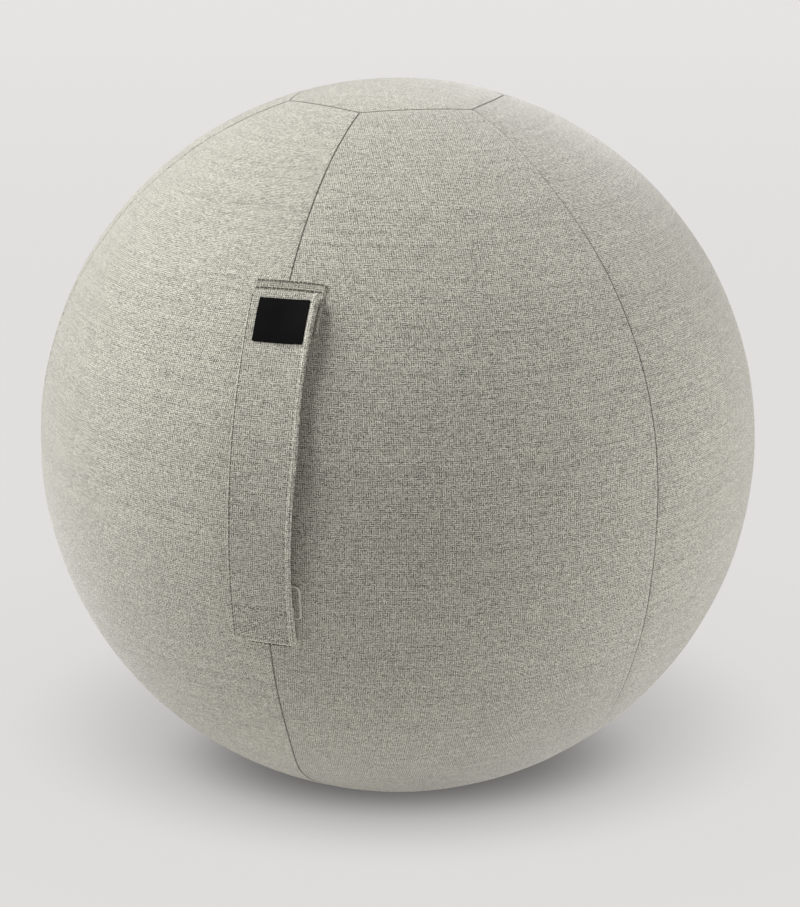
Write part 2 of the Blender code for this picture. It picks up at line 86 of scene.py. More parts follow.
# Bells along a seam, by its number: height in metres, middle and width in degrees of colatitude
STRAY_BELLS: dict[int, Bells] = {
    0: ((-0.0155, 143.0, 14.0), (0.0035, 95.0, 20.0)),
    1: ((0.0185, 131.0, 13.0), (-0.0055, 93.0, 14.0), (-0.0045, 36.0, 13.0)),
    5: ((-0.008, 64.0, 34.0),),
}
# Where each seam's painted shade is weakened: distance added in metres, middle and width in degrees
PAINTED_SHADE_EASE_BELLS: dict[int, Bells] = {
    0: ((0.0005, 80.0, 80.0),),
    1: ((0.0008, 30.0, 12.0),),
    5: ((0.0013, 60.0, 32.0),),
}
# Soft lights: name, degrees right of the camera, degrees above the ball, watts, length of a side
LAMPS = (
    ("left", -90.0, 32.0, 15.0, 0.8),
    ("upper_left", -90.0, 56.0, 26.0, 0.8),
    ("front_left", -60.0, 46.0, 15.5, 0.6),
    ("upper_right", 52.0, 56.0, 12.0, 1.5),
    ("low_right", 90.0, 10.0, 28.5, 1.5),
    ("front_right", 60.0, 10.0, 6.5, 1.5),
    ("overhead", 0.0, 90.0, 5.0, 1.5),
    ("rear", 180.0, 32.0, 20.0, 1.5),
)


class Body(Enum):
    """The bodies that pieces ride on."""

    BALL = "ball"
    HANDLE = "handle"
    SLIDER = "zip_slider"
    PULL = "zip_pull"


class Slot(Enum):
    """The record's material slots."""

    COVER = "cover_cloth"
    VINYL = "inner_ball_vinyl"
    PLUG = "plug_vinyl"
    TAPE = "zip_tape_cloth"
    COIL = "zip_coil_nylon"
    METAL = "zip_metal"
    LABEL = "label_black"


def operator(operation: str, swapped: bool = False) -> Callable[..., "Value"]:
    """A method of Value that adds a Math node.

    Args:
        operation: what the node does.
        swapped: whether the other operand comes first.

    Returns:
        The method.
    """

    def method(value: "Value", *others: Any) -> "Value":
        """The node's output."""
        operands = (*others, value) if swapped else (value, *others)
        return value.board.value(0, "Math", {"operation": operation}, dict(enumerate(operands)))

    return method


class Value:
    """One socket of a node tree; arithmetic on it adds Math nodes."""

    __add__ = __radd__ = operator("ADD")
    __mul__ = __rmul__ = operator("MULTIPLY")
    __sub__, __rsub__ = operator("SUBTRACT"), operator("SUBTRACT", True)
    __truediv__, __pow__ = operator("DIVIDE"), operator("POWER")
    floor, part, sine = operator("FLOOR"), operator("FRACT"), operator("SINE")

    def __init__(self, board: "Board", socket: bpy.types.NodeSocket) -> None:
        """Keeps the board that the socket is on."""
        self.board = board
        self.socket = socket

    def fade(self, low: float, high: float) -> "Value":
        """Smooth step from 0 at low to 1 at high."""
        values = {"Value": self, "From Min": low, "From Max": high}
        return self.board.value("Result", "MapRange", {"interpolation_type": "SMOOTHSTEP"}, values)


class Board:
    """A material's or world's node tree, with short ways to add to it."""

    def __init__(self, tree: bpy.types.NodeTree) -> None:
        """Keeps the tree."""
        self.tree = tree

    def feed(self, node: bpy.types.Node, values: dict[str | int, Any]) -> None:
        """Sets a node's sockets to numbers and colours, or links values to them.

        Args:
            node: the node.
            values: what each socket is fed, by its name or number.
        """
        for name, given in values.items():
            if isinstance(given, Value):
                self.tree.links.new(given.socket, node.inputs[name])
            else:
                node.inputs[name].default_value = (*given, 1.0) if isinstance(given, tuple) else given

    def node(
        self, kind: str, settings: dict[str, Any] | None = None, values: dict[str | int, Any] | None = None
    ) -> bpy.types.Node:
        """Adds a node.

        Args:
            kind: the node's type, less its first words.
            settings: its own properties, which are set first.
            values: what its sockets are fed.

        Returns:
            The node.
        """
        node = self.tree.nodes.new(f"ShaderNode{kind}")
        for name, setting in (settings or {}).items():
            setattr(node, name, setting)
        self.feed(node, values or {})
        return node

    def value(self, output: str | int, *given: Any) -> Value:
        """One output of a new node."""
        return Value(self, self.node(*given).outputs[output])

    def mix(self, factor: Any, first: Any, second: Any, blend: str = "MIX") -> Value:
        """A colour between two colours, or their product."""
        settings = {"data_type": "RGBA", "blend_type": blend}
        return self.value(2, "Mix", settings, {0: factor, 6: first, 7: second})

    def tint(self, colour: Any, strength: Value) -> Value:
        """A colour times a number."""
        grey = self.value(0, "CombineColor", None, {0: strength, 1: strength, 2: strength})
        return self.mix(1.0, colour, grey, "MULTIPLY")

    def noise(self, vector: Value, scale: float, detail: float = 2.0, roughness: float = 0.5) -> Value:
        """Smooth noise about 0, mostly within 0.3 either way."""
        values = {"Vector": vector, "Scale": scale, "Detail": detail, "Roughness": roughness}
        return self.value(0, "TexNoise", None, values) - 0.5

    def chance(self, x: Any, y: Any) -> Value:
        """A random number from 0 to 1 for each pair of whole numbers."""
        spot = self.value(0, "CombineXYZ", None, {0: x, 1: y, 2: 0.5})
        return self.value("Value", "TexWhiteNoise", None, {"Vector": spot})

    def bump(self, height: Value, distance: float) -> Value:
        """A normal from a height between 0 and 1, of that many metres."""
        return self.value(0, "Bump", None, {"Strength": 1.0, "Distance": distance, "Height": height})

    def place(self) -> Value:
        """Object coordinates."""
        return self.value("Object", "TexCoord")

    def weave(self) -> Value:
        """The piece's own weave map, in metres."""
        return self.value(0, "UVMap", {"uv_map": WEAVE_MAP})

    def split(self, vector: Value) -> tuple[Value, Value]:
        """A vector's first two numbers."""
        node = self.node("SeparateXYZ", None, {0: vector})
        return Value(self, node.outputs[0]), Value(self, node.outputs[1])


@dataclass(frozen=True)
class Coat:
    """A finish as it is put on a piece: its material, and the record's slot if it has one."""

    material: bpy.types.Material
    slot: Slot | None

    @property
    def board(self) -> Board:
        """The material's board."""
        return Board(self.material.node_tree)

    @property
    def shader(self) -> bpy.types.Node:
        """The material's Principled BSDF."""
        return self.material.node_tree.nodes["Principled BSDF"]


@dataclass(frozen=True)
class Finish:
    """A finish that is made as a Principled BSDF."""

    name: str
    slot: Slot | None

    def sockets(self, board: Board) -> dict[str, Any]:
        """What the shader's sockets are fed."""
        return {}

    def make(self) -> Coat:
        """Builds the material.

        Returns:
            The material with its slot.
        """
        material = bpy.data.materials.new(self.name)
        material.use_nodes = True
        coat = Coat(material, self.slot)
        coat.board.feed(coat.shader, self.sockets(coat.board))
        return coat


@dataclass(frozen=True)
class ClothFinish(Finish):
    """Flecked plain-weave cloth whose yarns change shade along their length.

    A row is a place in the endless table of random numbers.
    """

    dark: Colour
    light: Colour
    warp_pitch: float = 0.00088
    weft_pitch: float = 0.0008
    warp_dash: float = 0.0012
    weft_dash: float = 0.0018
    slub_dash: float = 0.008
    slub_share: Span = (0.84, 0.9)
    slub_depth: float = 0.14
    wander: float = 0.0012
    wander_scales: Span = (70.0, 58.0)
    line_lift: float = 0.36
    lean_scale: float = 380.0
    lean_reach: float = 0.12
    painted_crevice_shade: float = 0.12
    mean_shade: float = 0.52
    shade_spread: float = 0.48
    streak: float = 0.16
    cloud: float = 0.06
    cloud_scale: float = 24.0
    lint_share: float = 0.15
    lint_scale: float = 900.0
    painted_seam_shade_level: float = 0.32
    painted_seam_shade_fade: Span = (-0.0002, PAINTED_SEAM_SHADE_REACH)
    bump_height: float = 0.00006
    bump_share: float = 0.75
    roughness: float = 0.93
    shine: float = 0.2
    sheen: float = 0.45
    painted_highlight_gain: float = 0.3
    start_rows: Span = (17.0, 41.0)
    start_reach: float = 9.0
    dash_rows: Span = (0.25, 0.75)
    streak_row: float = 91.0

    def sockets(self, board: Board) -> dict[str, Any]:
        """Works on the piece's own weave map, in metres.

        Each crossing shows the warp or the weft yarn in turn. A yarn is cut into dashes, and each
        dash has its own random shade between the dark and the light colour. In patches every other
        yarn is darker, across the cloth in some and along it in others, as in a slubby plain weave.

        Args:
            board: the material's board.

        Returns:
            What the shader's sockets are fed.
        """
        flat = board.weave()
        across, along = (
            place + board.noise(flat, scale) * self.wander
            for place, scale in zip(board.split(flat), self.wander_scales)
        )
        warp, weft = across / self.warp_pitch, along / self.weft_pitch
        warp_yarn, weft_yarn = warp.floor(), weft.floor()
        warp_start, weft_start = (
            board.chance(yarn, row) * self.start_reach
            for yarn, row in zip((warp_yarn, weft_yarn), self.start_rows)
        )
        weft_row, slub_row = (weft_yarn + row for row in self.dash_rows)
        warp_shade = board.chance(warp_yarn, (along / self.warp_dash + warp_start).floor())
        weft_shade = board.chance((across / self.weft_dash + weft_start).floor(), weft_row)
        weft_on_top = ((warp_yarn + weft_yarn) * 0.5).part() * 2.0
        warp_round, weft_round = ((yarn.part() * math.pi).sine() for yarn in (warp, weft))
        shade = warp_shade + (weft_shade - warp_shade) * weft_on_top
        roundness = warp_round + (weft_round - warp_round) * weft_on_top

        slub = board.chance((across / self.slub_dash + weft_start).floor(), slub_row)
        slubby = slub.fade(*self.slub_share) * weft_on_top * self.slub_depth
        cloudy = board.noise(flat, self.cloud_scale, 3.0) * self.cloud
        lint = board.noise(flat, self.lint_scale, 1.0) * self.lint_share
        streaky = (board.chance(weft_yarn, self.streak_row) - 0.5) * weft_on_top * self.streak
        lean = board.noise(flat, self.lean_scale, 1.0).fade(-self.lean_reach, self.lean_reach)
        columns, rows = ((yarn * 0.5).part() * 2.0 - 0.5 for yarn in (warp_yarn, weft_yarn))
        lines = (columns + (rows - columns) * lean) * self.line_lift
        tone = (shade - 0.5) * self.shade_spread + self.mean_shade
        tone = tone + lines + cloudy + lint + streaky - slubby
        # Painted shade: each yarn is darker towards its sides, in the crevices between crossings
        depth = (1.0 - self.painted_crevice_shade) + roundness * self.painted_crevice_shade
        edge = board.value("Fac", "Attribute", {"attribute_name": EDGE_ATTRIBUTE})
        # Painted shade: the cloth is darkened near a seam, where its groove lies in shade
        drawn = edge.fade(*self.painted_seam_shade_fade) * (1.0 - self.painted_seam_shade_level) + self.painted_seam_shade_level
        # Painted highlight: lighter where the edge attribute is 1 to 2, along the strap's folded edges
        ridge = edge.fade(1.0, 2.0) * self.painted_highlight_gain + 1.0
        colour = board.mix(tone.fade(0.0, 1.0), self.dark, self.light)
        return {
            "Roughness": self.roughness,
            "Specular IOR Level": self.shine,
            "Sheen Weight": self.sheen,
            "Sheen Roughness": 0.5,
            "Base Color": board.tint(colour, depth * drawn * ridge),
            "Normal": board.bump(roundness * self.bump_share + lint, self.bump_height),
        }


@dataclass(frozen=True)
class GrainFinish(Finish):
    """Thread, vinyl, nylon, metal or a pressed label: one colour with a fine grain and wider wear.

    A noise is its scale, detail and roughness. Each gain is for the grain and then for the wear.
    """

    colour: Colour
    roughness: float
    grain: tuple[float, ...]
    grain_height: float
    wear: tuple[float, ...] = (60.0,)
    colour_gains: Span = (0.3, 0.35)
    rough_gains: Span = (0.2, 0.25)
    shine: float = 0.5
    metallic: float = 0.0

    def sockets(self, board: Board) -> dict[str, Any]:
        """Two noises on Object coordinates.

        Args:
            board: the material's board.

        Returns:
            What the shader's sockets are fed.
        """
        place = board.place()
        grain, wear = board.noise(place, *self.grain), board.noise(place, *self.wear)
        shade, rough = (wear * gain[1] + grain * gain[0] for gain in (self.colour_gains, self.rough_gains))
        return {
            "Metallic": self.metallic,
            "Specular IOR Level": self.shine,
            "Base Color": board.tint(self.colour, shade + 1.0),
            "Roughness": rough + self.roughness,
            "Normal": board.bump(grain, self.grain_height),
        }


@dataclass(frozen=True)
class TapeFinish(Finish):
    """Woven zip tape with narrow ribs along it."""

    colour: Colour
    roughness: float = 0.85
    rib: float = 0.0008
    rib_height: float = 0.00025
    fleck_scale: float = 1500.0
    level: float = 0.8
    twill_gain: float = 0.35
    fleck_gain: float = 0.7

    def sockets(self, board: Board) -> dict[str, Any]:
        """Crossed sine waves and noise on the piece's own weave map.

        Args:
            board: the material's board.

        Returns:
            What the shader's sockets are fed.
        """
        flat = board.weave()
        across, along = ((place * (FULL_TURN / self.rib)).sine() for place in board.split(flat))
        twill = across * along * 0.5 + 0.5
        fleck = board.noise(flat, self.fleck_scale)
        shade = twill * self.twill_gain + fleck * self.fleck_gain + self.level
        return {
            "Roughness": self.roughness,
            "Base Color": board.tint(self.colour, shade),
            "Normal": board.bump(twill, self.rib_height),
        }


class Finishes:
    """Every finish of the object, made once."""

    def __init__(self) -> None:
        """Makes the materials."""

        def cloth(name: str, dark: Colour, light: Colour) -> Coat:
            """A cloth of the cover."""
            return ClothFinish(name, Slot.COVER, dark, light).make()

        def thread(name: str, colour: Colour) -> Coat:
            """A sewing thread with a fine twist."""
            gains = {"colour_gains": (0.6, 0.0), "rough_gains": (0.0, 0.0)}
            return GrainFinish(name, Slot.COVER, colour, 0.7, (700.0,), 0.0002, **gains).make()

        def moulded(slot: Slot, colour: Colour, rough: float, grain: Span, shine: float = 0.5) -> Coat:
            """A vinyl, nylon or pressed piece, with grains of a size and a height."""
            noise = (1.0 / grain[0], 3.0, 0.6)
            return GrainFinish(slot.value, slot, colour, rough, noise, grain[1], shine=shine).make()

        self.cloth = cloth("cover_cloth", (0.072, 0.066, 0.05), (0.81, 0.786, 0.68))
        # A lighter copy of the cover cloth for panels 5 and 6 and both caps: painted light
        self.painted_light_cloth = cloth("cover_cloth_painted_light", (0.08, 0.073, 0.056), (0.88, 0.855, 0.74))
        # A darker copy of the cover cloth for the patches: painted shade, as they lie in the strap's shade
        self.patch_cloth_painted_shade = cloth("patch_cloth_painted_shade", (0.065, 0.06, 0.045), (0.71, 0.69, 0.585))
        self.seam_thread = thread("seam_thread", (0.24, 0.228, 0.19))
        self.stitch_thread = thread("stitch_thread", (0.12, 0.113, 0.092))
        # Pale binding thread: partly its own colour, partly a painted highlight on the lower patch's rim
        self.binding_thread_painted_highlight = thread("binding_thread_painted_highlight", (0.8, 0.775, 0.68))
        self.vinyl = moulded(Slot.VINYL, (0.2, 0.2, 0.2), 0.5, (0.004, 0.0003))
        self.plug = moulded(Slot.PLUG, (0.72, 0.72, 0.69), 0.42, (0.002, 0.0001))
        self.tape = TapeFinish("zip_tape_cloth", Slot.TAPE, (0.3, 0.285, 0.25)).make()
        self.nylon = moulded(Slot.COIL, (0.24, 0.23, 0.2), 0.38, (0.001, 0.00005))
        brushed = {"wear": (420.0, 3.0), "colour_gains": (0.0, 0.8), "rough_gains": (0.12, 0.3)}
        gunmetal = GrainFinish(
            "zip_metal", Slot.METAL, (0.42, 0.41, 0.4), 0.36, (2600.0,), 0.00004, metallic=1.0, **brushed
        )
        self.metal = gunmetal.make()
        self.label = moulded(Slot.LABEL, (0.004, 0.004, 0.004), 0.6, (0.0009, 0.00006), 0.03)


def quads(rows: int, columns: int, closed: bool = False, start: int = 0) -> Array:
    """Faces of a grid of points.

    Args:
        rows: rows of points.
        columns: points in a row.
        closed: whether each row is a ring.
        start: the grid's first point.

    Returns:
        An array of four point numbers a face.
    """
    row = np.arange(rows - 1)[:, None] * columns
    column = np.arange(columns if closed else columns - 1)[None, :]
    after = (column + 1) % columns
    faces = np.stack([row + column, row + columns + column, row + columns + after, row + after], -1)
    return faces.reshape(-1, 4) + start


def tube_faces(rings: int) -> Array:
    """Faces of a closed tube of six-sided rings."""
    caps = np.array([[0, 1, 2, 3], [0, 3, 4, 5]])
    return np.concatenate([quads(rings, TUBE_SIDES, True), caps, caps + (rings - 1) * TUBE_SIDES])


def tube_ring(across: Array, lift: Array) -> Array:
    """Six ways round a tube, cos(a) across + sin(a) lift, at each of its points."""
    turn = (np.arange(TUBE_SIDES) * FULL_TURN / TUBE_SIDES)[:, None]
    return np.cos(turn) * across[:, None, :] + np.sin(turn) * lift[:, None, :]


def add_object(name: str, data: Any) -> Piece:
    """Puts a new object into the scene.

    Args:
        name: its name.
        data: its mesh, camera or light.

    Returns:
        The object.
    """
    thing = bpy.data.objects.new(name, data)
    bpy.context.scene.collection.objects.link(thing)
    return thing


def add_piece(
    name: str,
    points: Array,
    faces: Sequence[Array],
    coat: Coat,
    weave: Array | None = None,
    edge: Array | None = None,
) -> Piece:
    """Puts a piece into the scene, with its faces pointing out.

    Args:
        name: the piece's name.
        points: its points, three numbers each.
        faces: arrays of three or four point numbers a face.
        coat: its finish.
        weave: a flat place of the cloth for each point, in metres.
        edge: the distance to the nearest seam for each point, in metres, which sets the painted seam shade;
            1 to 2 on a painted highlight.

    Returns:
        The object.
    """
    mesh = bpy.data.meshes.new(name)
    mesh.from_pydata(points.reshape(-1, 3).tolist(), [], sum((part.tolist() for part in faces), []))
    mesh.materials.append(coat.material)
    if weave is not None:
        corners = np.zeros(len(mesh.loops), dtype=np.int32)
        mesh.loops.foreach_get("vertex_index", corners)
        layer = mesh.uv_layers.new(name=WEAVE_MAP)
        layer.data.foreach_set("uv", weave.reshape(-1, 2)[corners].astype(np.float32).ravel())
    if edge is not None:
        attribute = mesh.attributes.new(EDGE_ATTRIBUTE, "FLOAT", "POINT")
        attribute.data.foreach_set("value", edge.astype(np.float32).ravel())
    work = bmesh.new()
    work.from_mesh(mesh)
    bmesh.ops.recalc_face_normals(work, faces=work.faces)
    work.to_mesh(mesh)
    work.free()
    mesh.shade_smooth()
    mesh.set_sharp_from_angle(angle=SHARP_ANGLE)
    piece = add_object(name, mesh)
    LOG.info("%s: %d faces", name, len(mesh.polygons))
    return piece


def shell(name: str, outer: Array, inner: Array, coat: Coat, weave: Array, edge: Array) -> Piece:
    """A sheet with a thickness: two grids of the same size, joined round their border.

    Args:
        name: the piece's name.
        outer: points of the outer face, in rows.
        inner: points of the inner face, in rows.
        coat: its finish.
        weave: flat places for one face.
        edge: distances to the nearest seam for one face.

    Returns:
        The object.
    """
    rows, columns = outer.shape[:2]
    size = rows * columns
    numbers = np.arange(size).reshape(rows, columns)
    rim = np.concatenate([numbers[0], numbers[1:, -1], numbers[-1, -2::-1], numbers[-2:0:-1, 0]])
    after = np.roll(rim, -1)
    walls = np.stack([rim, after, after + size, rim + size], -1)
    faces = [quads(rows, columns), quads(rows, columns, start=size), walls]
    both = (np.stack(given) for given in ([outer, inner], [weave, weave], [edge, edge]))
    points, weaves, edges = both
    return add_piece(name, points, faces, coat, weaves, edges)


def settle(piece: Piece, body: Body, *nodes: str) -> None:
    """Lets a piece ride on a body, in place of the solids that it stands for.

    Args:
        piece: the piece.
        body: the body.
        nodes: the solids' names, if there are any.
    """
    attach(piece, body.value)
    if nodes:
        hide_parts(*nodes)


def crowded(count: int, crowding: float) -> Array:
    """Numbers from -1 to 1, closer together towards both ends: tanh(c s) / tanh(c)."""
    return np.tanh(crowding * np.linspace(-1.0, 1.0, count)) / math.tanh(crowding)


def smooth_step(value: Array, low: float, high: float) -> Array:
    """0 below low, 1 above high, and 3 t^2 - 2 t^3 between them."""
    share = np.clip((value - low) / (high - low), 0.0, 1.0)
    return share * share * (3.0 - 2.0 * share)


def bell(value: Array, middle: float, width: float) -> Array:
    """1 at the middle, falling to 0 on both sides: e^-((t - m) / w)^2."""
    return np.exp(-(((value - middle) / width) ** 2))


def unit(vectors: Array) -> Array:
    """Vectors at length 1."""
    return vectors / np.linalg.norm(vectors, axis=-1, keepdims=True)


def run_along(points: Array) -> Array:
    """Distance along a line of points, from its first one."""
    return np.concatenate([[0.0], np.cumsum(np.linalg.norm(np.diff(points, axis=0), axis=1))])


@dataclass(frozen=True)
class StitchRow:
    """Stitches of one thread: how long, how thick and how deep their ends dive."""

    length: float
    gap: float
    thread: float
    sink: float
    rings: int = 5

    def count(self, run: float) -> int:
        """Stitches that fit a run."""
        return max(1, round(run / (self.length + self.gap)))

    def shares(self, run: float) -> Array:
        """Where the stitches that fit a run have their middles, from 0 to 1."""
        return (np.arange(self.count(run)) + 0.5) / self.count(run)

    def sew(self, name: str, lines: Sequence[Stitches], coat: Coat) -> Piece:
        """Short bowed tubes: a ring of radius thread/2 sqrt(1 - 0.8 s^4), sunk by sink s^2 at s.

        Args:
            name: the piece's name.
            lines: for each line the stitches' middles, their runs and the way out of the cloth.
            coat: the thread's finish.

        Returns:
            The piece.
        """
        middles, runs, lifts = (np.concatenate(given) for given in zip(*lines))
        share = np.linspace(-1.0, 1.0, self.rings)[None, :, None, None]
        runs = unit(runs)
        sides = unit(np.cross(runs, lifts))
        lifts = np.cross(sides, runs)
        middle, run, lift = (given[:, None, None, :] for given in (middles, runs, lifts))
        radius = self.thread / 2 * np.sqrt(1.0 - 0.8 * share**4)
        bowed = middle + run * share * self.length / 2 - lift * self.sink * share**2
        points = bowed + radius * tube_ring(sides, lifts)[:, None]
        starts = np.arange(len(middles)) * self.rings * TUBE_SIDES
        faces = (tube_faces(self.rings) + starts[:, None, None]).reshape(-1, 4)
        return add_piece(name, points, [faces], coat)


@dataclass(frozen=True)
class Ball:
    """The ball's own sizes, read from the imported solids."""

    radius: float
    centre_z: float
    panels: int = 6

    @classmethod
    def from_frame(cls) -> "Ball":
        """Reads the radius from a side panel and the centre from the top panel."""
        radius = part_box("side_panel_2")[1].x
        return cls(radius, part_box("top_panel")[1].z - radius)

    @property
    def panel_angle(self) -> float:
        """Angle between two seams."""
        return FULL_TURN / self.panels

    @property
    def centre(self) -> Array:
        """The ball's middle."""
        return np.array([0.0, 0.0, self.centre_z])

    def outward(self, points: Array) -> Array:
        """The way out of the ball at each point."""
        return unit(points - self.centre)

    def span(self, node: str) -> Span:
        """Arcs over the ball from the top centre to a node's upper and lower end.

        Args:
            node: the solid.

        Returns:
            The arc to its upper end and the arc to its lower end.
        """
        low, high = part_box(node)
        start, end = (self.radius * math.acos((z - self.centre_z) / self.radius) for z in (high.z, low.z))
        return start, end

    def place(self, colat: Array, azimuth: Array, radius: Array | float) -> Array:
        """Points at a distance from the centre, in a colatitude and an azimuth.

        Args:
            colat: the colatitude.
            azimuth: the azimuth.
            radius: the distance from the centre.

        Returns:
            The points.
        """
        colat, azimuth, radius = np.broadcast_arrays(colat, azimuth, radius)
        x, y = radius * np.sin(colat) * np.sin(azimuth), -radius * np.sin(colat) * np.cos(azimuth)
        return np.stack([x, y, self.centre_z + radius * np.cos(colat)], -1)

    def beside_seam(self, arc: Array, x: Array | float, height: Array | float, side: int) -> Array:
        """Points beside the front (side -1) or rear (side 1) seam.

        Args:
            arc: distance over the ball from the top centre.
            x: distance across the seam.
            height: height over the ball's face in the seam's plane.
            side: -1 or 1.

        Returns:
            The points.
        """
        arc, x, height = np.broadcast_arrays(arc, x, height)
        colat, radius = arc / self.radius, self.radius + height
        return np.stack([x, side * radius * np.sin(colat), self.centre_z + radius * np.cos(colat)], -1)

    def fall(self, x: Array) -> Array:
        """How far the ball's face falls away at a distance across: R - sqrt(R^2 - x^2)."""
        return self.radius - np.sqrt(self.radius**2 - np.square(x))


@dataclass
class SewnCover:
    """Six side panels, the panels at the top and the foot, and the thread in their seams."""

    ball: Ball
    finishes: Finishes
    thickness: float = 0.0024
    cap_corner_arc: float = 0.097
    cap_seam_bow: float = 0.0045
    seam_gap: float = 0.0002
    seam_ease: float = 16.0
    edge_roll: float = 0.0009
    draw_depth: float = 0.0006
    draw_reach: float = 0.0055
    ridge_height: float = 0.0004
    ridge_reach: float = 0.0062
    ridge_fall: float = 0.0016
    ridge_ease: float = 0.004
    swell: float = 0.0002
    slot_half_width: float = 0.0086
    slot_round: float = 0.003
    slot_margin: float = 0.0015
    slot_arc: Span = (0.0, 0.0)
    stitch: StitchRow = StitchRow(length=0.0016, gap=0.0015, thread=0.00055, sink=0.0003)
    stitch_depth: float = 0.0007
    stitch_slant: float = 0.35
    rows: int = 201
    row_crowding: float = 2.7
    columns: int = 97
    column_crowding: float = 2.6
    cap_rings: int = 46
    cap_crowding: float = 2.4
    cap_columns: int = 192
    cap_slant: Span = (0.01, 0.004)
    slot_rows: int = 9
    roll_share: float = 0.98

    def __post_init__(self) -> None:
        """Reads where the zip's slot is from the tape's own box."""
        start, end = self.ball.span("zip_tape_left")
        self.slot_arc = (start - self.slot_margin, end + self.slot_margin)

    @property
    def corner(self) -> float:
        """Angle from the pole to a cap's corner."""
        return self.cap_corner_arc / self.ball.radius

    @property
    def seam_length(self) -> float:
        """Length of a side seam."""
        return math.pi * self.ball.radius - 2.0 * self.cap_corner_arc

    @property
    def zip_seam(self) -> int:
        """Number of the seam opposite the handle's."""
        return self.ball.panels // 2

    def cap_edge(self, azimuth: Array) -> Array:
        """Angle from the pole to the cap's seam: a great circle between corners, bowed outwards.

        Args:
            azimuth: where round the cap.

        Returns:
            The angle.
        """
        step = self.ball.panel_angle
        across = np.mod(azimuth, step) - step / 2
        straight = np.arctan(math.tan(self.corner) * math.cos(step / 2) / np.cos(across))
        bow = self.cap_seam_bow / self.ball.radius
        return straight + bow * (1.0 - (2.0 * across / step) ** 2)

    def along_seam(self, table: dict[int, Bells], seam: int, colat: Array) -> Array:
        """Sum of the bells of a seam at a colatitude.

        Args:
            table: the bells of every seam.
            seam: 0 for the handle's seam, then on towards +X.
            colat: where along the seam.

        Returns:
            Their sum, in metres.
        """
        degrees = np.degrees(colat)
        given = table.get(seam % self.ball.panels, ())
        return sum((height * bell(degrees, *where) for height, *where in given), np.zeros_like(degrees))

    def seam_shift(self, seam: int, colat: Array) -> Array:
        """How far a seam strays from its meridian towards +azimuth: its bells, none at its ends.

        The seams on both sides of the front panel part towards the foot, so that panel is wider there,
        and the panel to its left is wider above its middle.

        Args:
            seam: 0 for the handle's seam, then on towards +X.
            colat: where along the seam.

        Returns:
            The distance, in metres.
        """
        degrees = np.degrees(colat)
        inside = np.minimum(degrees, 180.0 - degrees) - math.degrees(self.corner)
        return self.along_seam(STRAY_BELLS, seam, colat) * smooth_step(inside, 0.0, self.seam_ease)

    # Weakens the painted seam shade along parts of a seam
    def pressed(self, seam: int, colat: Array) -> Array:
        """How far the painted shade of a seam is weakened, as a distance added to that from its edge."""
        return self.along_seam(PAINTED_SHADE_EASE_BELLS, seam, colat)

    def drawn_in(self, distance: Array) -> Array:
        """Depth of the cloth near its own edge: a wide soft dip and a quarter-round roll.

        Args:
            distance: the distance from the edge.

        Returns:
            The depth.
        """
        rest = np.clip(distance, 0.0, None)
        turn = np.clip(1.0 - rest / self.edge_roll, 0.0, 1.0)
        roll = self.edge_roll * (1.0 - np.sqrt(1.0 - np.square(turn) * self.roll_share))
        return self.draw_depth * bell(rest, 0.0, self.draw_reach) + roll

    def unevenness(self, colat: Array, azimuth: Array) -> Array:
        """Slow swells of the filled cover: three waves through the ball, about 0.1 m long.

        Args:
            colat: the colatitude.
            azimuth: the azimuth.

        Returns:
            The height.
        """
        waves = np.array([[41.0, 23.0, 57.0], [-63.0, 35.0, 29.0], [27.0, -71.0, -45.0]])
        phases = np.array([0.4, 2.1, 4.0])
        points = self.ball.place(colat, azimuth, self.ball.radius)
        return self.swell * np.sin(points @ waves.T + phases).mean(-1)

    def slot_edge(self, arc: Array) -> Array:
        """Half width of the opening along the zip's seam: a round-ended slot in a closed seam.

        Args:
            arc: distance over the ball from the top centre.

        Returns:
            The half width.
        """
        inside = np.minimum(arc - self.slot_arc[0], self.slot_arc[1] - arc)
        share = np.clip(inside / self.slot_round, 0.0, 1.0)
        width = self.slot_half_width * np.sqrt(1.0 - np.square(1.0 - share))
        return np.maximum(width, self.seam_gap / 2)

    def panel_rows(self, has_zip: bool) -> Array:
        """Shares of the way from the top seam to the foot seam, with more where the slot ends.

        Args:
            has_zip: whether the panel lies beside the zip.

        Returns:
            The shares, from 0 to 1.
        """
        shares = (crowded(self.rows, self.row_crowding) + 1.0) / 2.0
        if not has_zip:
            return shares
        inset = self.slot_round * (1.0 - np.cos(np.linspace(0.0, math.pi / 2, self.slot_rows)))
        ends = np.concatenate([self.slot_arc[0] + inset, self.slot_arc[1] - inset])
        return np.sort(np.concatenate([shares, (ends - self.cap_corner_arc) / self.seam_length]))

    def side_panel(self, number: int) -> None:
        """One side panel: a grid of shares of its length and width, drawn in at its edges.

        Args:
            number: 1 to 6, from the handle's seam towards +X.
        """
        ball, step = self.ball, self.ball.panel_angle
        shares = self.panel_rows(number in (self.zip_seam, self.zip_seam + 1))[:, None]
        about = self.corner + (math.pi - 2.0 * self.corner) * shares
        closed = np.full_like(about, self.seam_gap / 2)
        slot = self.slot_edge(about * ball.radius)
        near = slot if number == self.zip_seam + 1 else closed
        far = slot if number == self.zip_seam else closed
        girth = ball.radius * np.sin(about)
        start = np.arcsin((near + self.seam_shift(number - 1, about)) / girth)
        end = step - np.arcsin((far - self.seam_shift(number, about)) / girth)
        across = start + (end - start) * (crowded(self.columns, self.column_crowding)[None, :] + 1.0) / 2.0
        azimuth = (number - 1) * step + across
        edge = self.cap_edge(azimuth) + self.seam_gap / 2 / ball.radius
        colat = edge + (math.pi - 2.0 * edge) * shares

